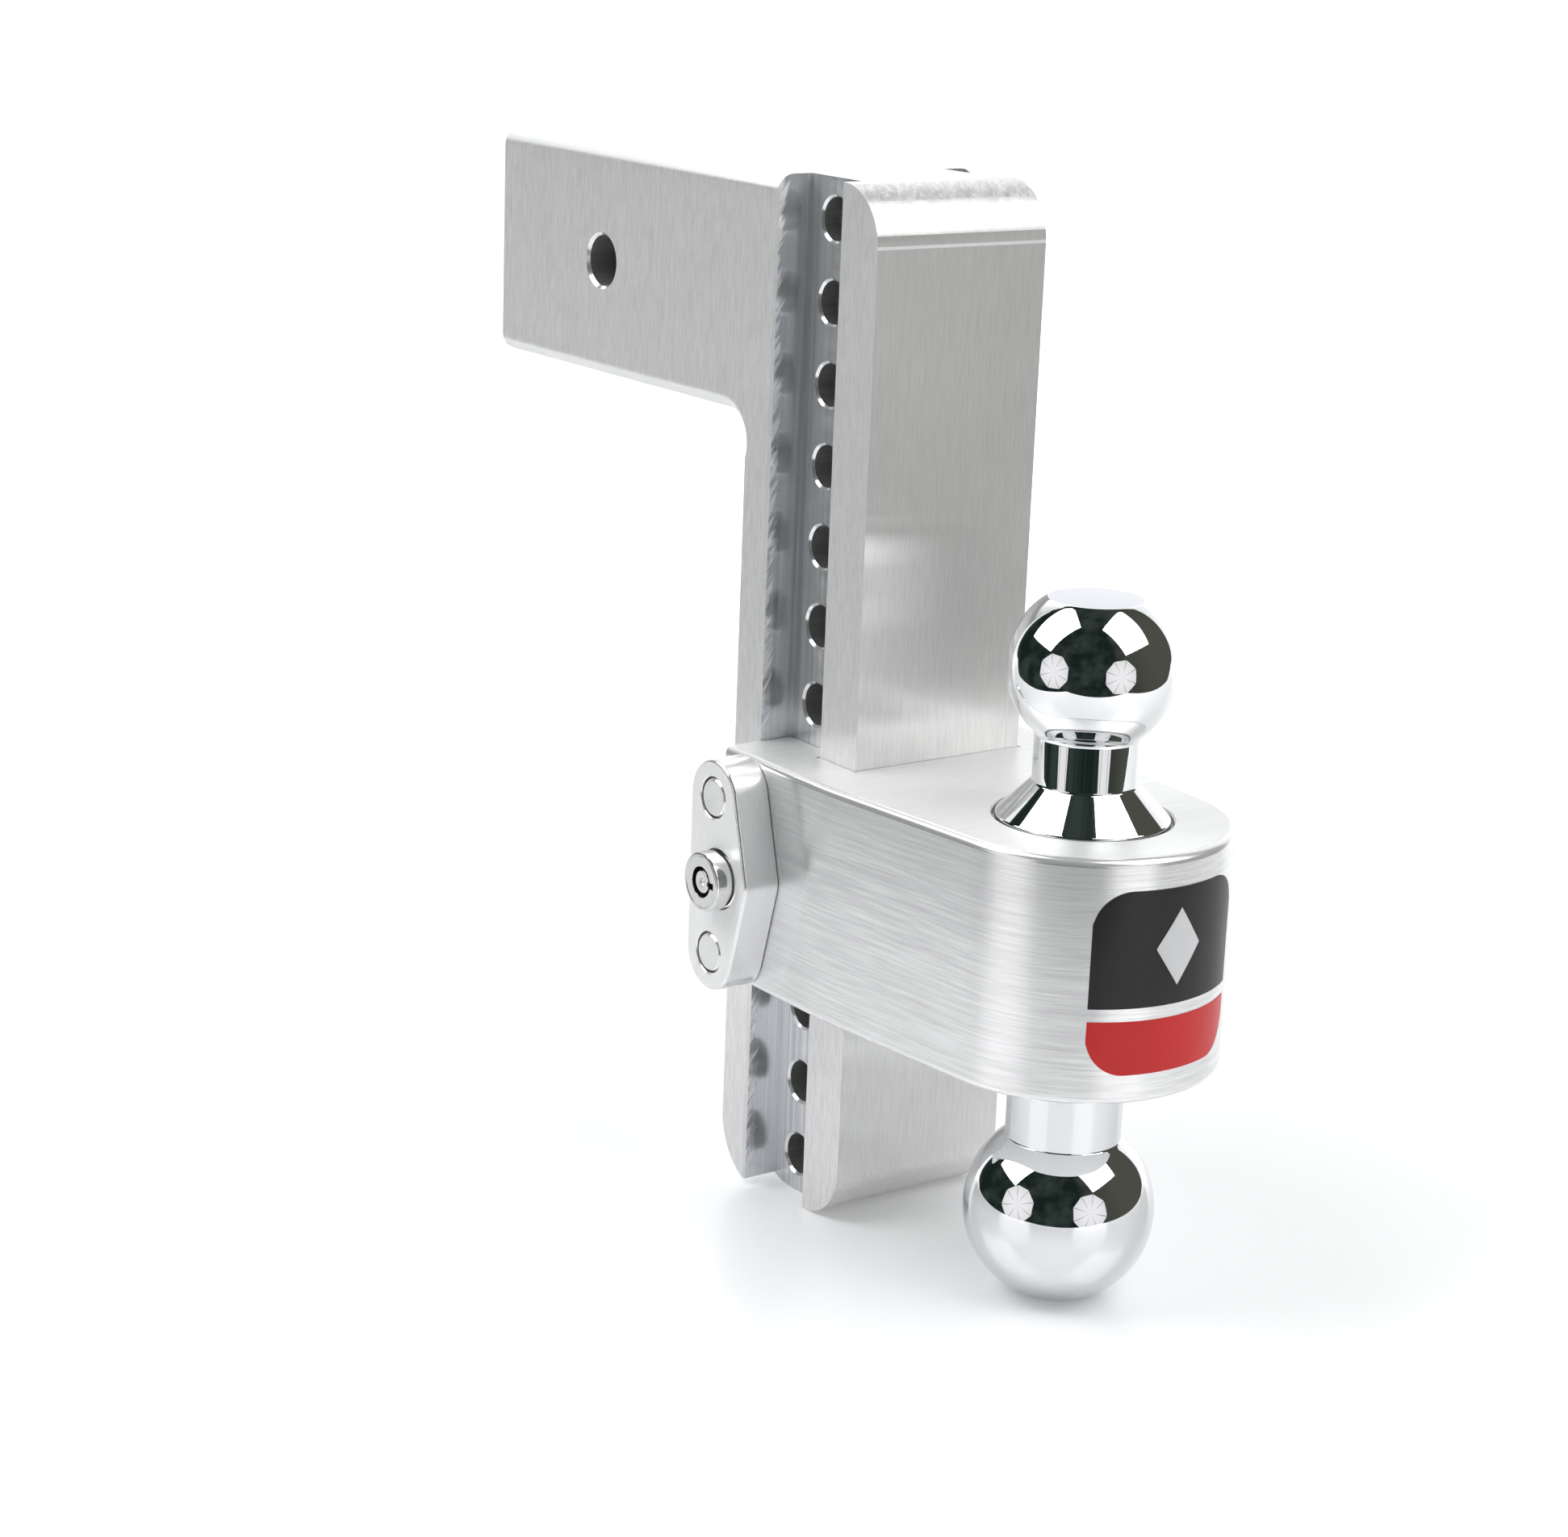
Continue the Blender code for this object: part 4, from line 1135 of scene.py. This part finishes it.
def make_far_floor(floor_z):
    """The floor and wall beyond the table, seen by the camera and not mirrored in the object."""
    reach, sides = 15.0, 48
    ring = [(reach * math.cos(math.tau * k / sides), reach * math.sin(math.tau * k / sides),
             floor_z) for k in range(sides)]
    paper = glow("floor_paper", 0.86, 0.15, 1.1, 0.45, 1.4)
    stage_mesh("far_floor", ring, [list(range(sides))], paper, others=False)
    wall_light = shining("far_wall_light", (0.99, 0.99, 1.0), 1.1)[0]
    verts = [(x, y, floor_z + z) for z in (-1.0, 20.0) for x, y, _ in ring]
    faces = [[k, (k + 1) % sides, sides + (k + 1) % sides, sides + k] for k in range(sides)]
    faces.append(list(range(sides, 2 * sides)))
    stage_mesh("far_wall", verts, faces, wall_light, others=False)


def make_umbrella(name, centre, azimuth, radius):
    """An eight-ribbed photographic umbrella, a soft light that shows in the chrome."""
    distance, depth, strength, panel = 0.8, 0.10, 1.1, (23.4, 66.6)
    facing = direction(*azimuth)
    side = facing.cross(Vector((0, 0, 1))).normalized()
    up = side.cross(facing)
    verts, faces = [], []
    for k in range(8):
        faces.append([len(verts) + i for i in range(3)])
        corners = [(0, 0.0, depth)] + [(k * 45 + edge, radius, 0.0) for edge in panel]
        for angle, reach, dip in corners:
            a = math.radians(angle)
            verts.append(side * reach * math.cos(a) + up * reach * math.sin(a) + facing * dip)
    cloth = stage_mesh(name, verts, faces, light_cloth(name + "_cloth", strength), camera=False)
    cloth.location = centre + facing * distance
    cloth.visible_shadow = False


def make_softbox(name, centre, place, size):
    distance, radiance = 1.2, 3.9
    data = bpy.data.lights.new(name, "AREA")
    data.shape = "RECTANGLE"
    data.size, data.size_y = size
    data.energy = radiance * math.pi * size[0] * size[1]
    light = link(name, data)
    facing = direction(*place)
    light.location = centre + facing * distance
    light.rotation_mode = "QUATERNION"
    light.rotation_quaternion = facing.to_track_quat("Z", "Y")
    light.visible_camera = False


def make_world():
    """A dark room: greenish gloom, and a dim warm wall on the right."""
    world = bpy.data.worlds.new("room")
    bpy.context.scene.world = world
    world.use_nodes = True
    tree = world.node_tree
    sky = tree.nodes["Background"]
    place = tree.nodes.new("ShaderNodeTexCoord")
    dot = tree.nodes.new("ShaderNodeVectorMath")
    dot.operation = "DOT_PRODUCT"
    dot.inputs[1].default_value = direction(CAMERA_AZIMUTH + 100, 15.0)
    tree.links.new(place.outputs["Generated"], dot.inputs[0])
    warm = spread(tree, dot.outputs["Value"], 0.0, 1.0, 0.3, 0.95)
    clutter = tree.nodes.new("ShaderNodeTexNoise")
    clutter.inputs["Scale"].default_value = 3.5
    clutter.inputs["Detail"].default_value = 4.0
    tree.links.new(place.outputs["Generated"], clutter.inputs["Vector"])
    gloom = blend_colour(tree, spread(tree, clutter.outputs["Fac"], 0.0, 1.0, 0.4, 0.65),
                         (0.010, 0.018, 0.016), (0.036, 0.050, 0.044))
    room = blend_colour(tree, warm, gloom, (0.085, 0.085, 0.07))
    tree.links.new(room, sky.inputs["Color"])


def make_studio():
    floor_z = cad_box[0].z
    centre = Vector((BALL_X * MM, 0.0, floor_z))
    ball = Vector((BALL_X * MM, 0.0, BALL_UP_Z * MM))
    make_table(floor_z, centre)
    make_far_floor(floor_z)
    make_softbox("softbox_left", ball, (CAMERA_AZIMUTH - 89, 47), (0.90, 1.06))
    make_softbox("softbox_right", ball, (CAMERA_AZIMUTH + 66, 50), (0.94, 0.98))
    make_umbrella("umbrella_left", ball, (CAMERA_AZIMUTH - 56, 1), 0.31)
    make_umbrella("umbrella_right", ball, (CAMERA_AZIMUTH + 34, 0), 0.32)
    make_world()
    bpy.context.scene.view_settings.view_transform = "Standard"


make_camera()
make_studio()
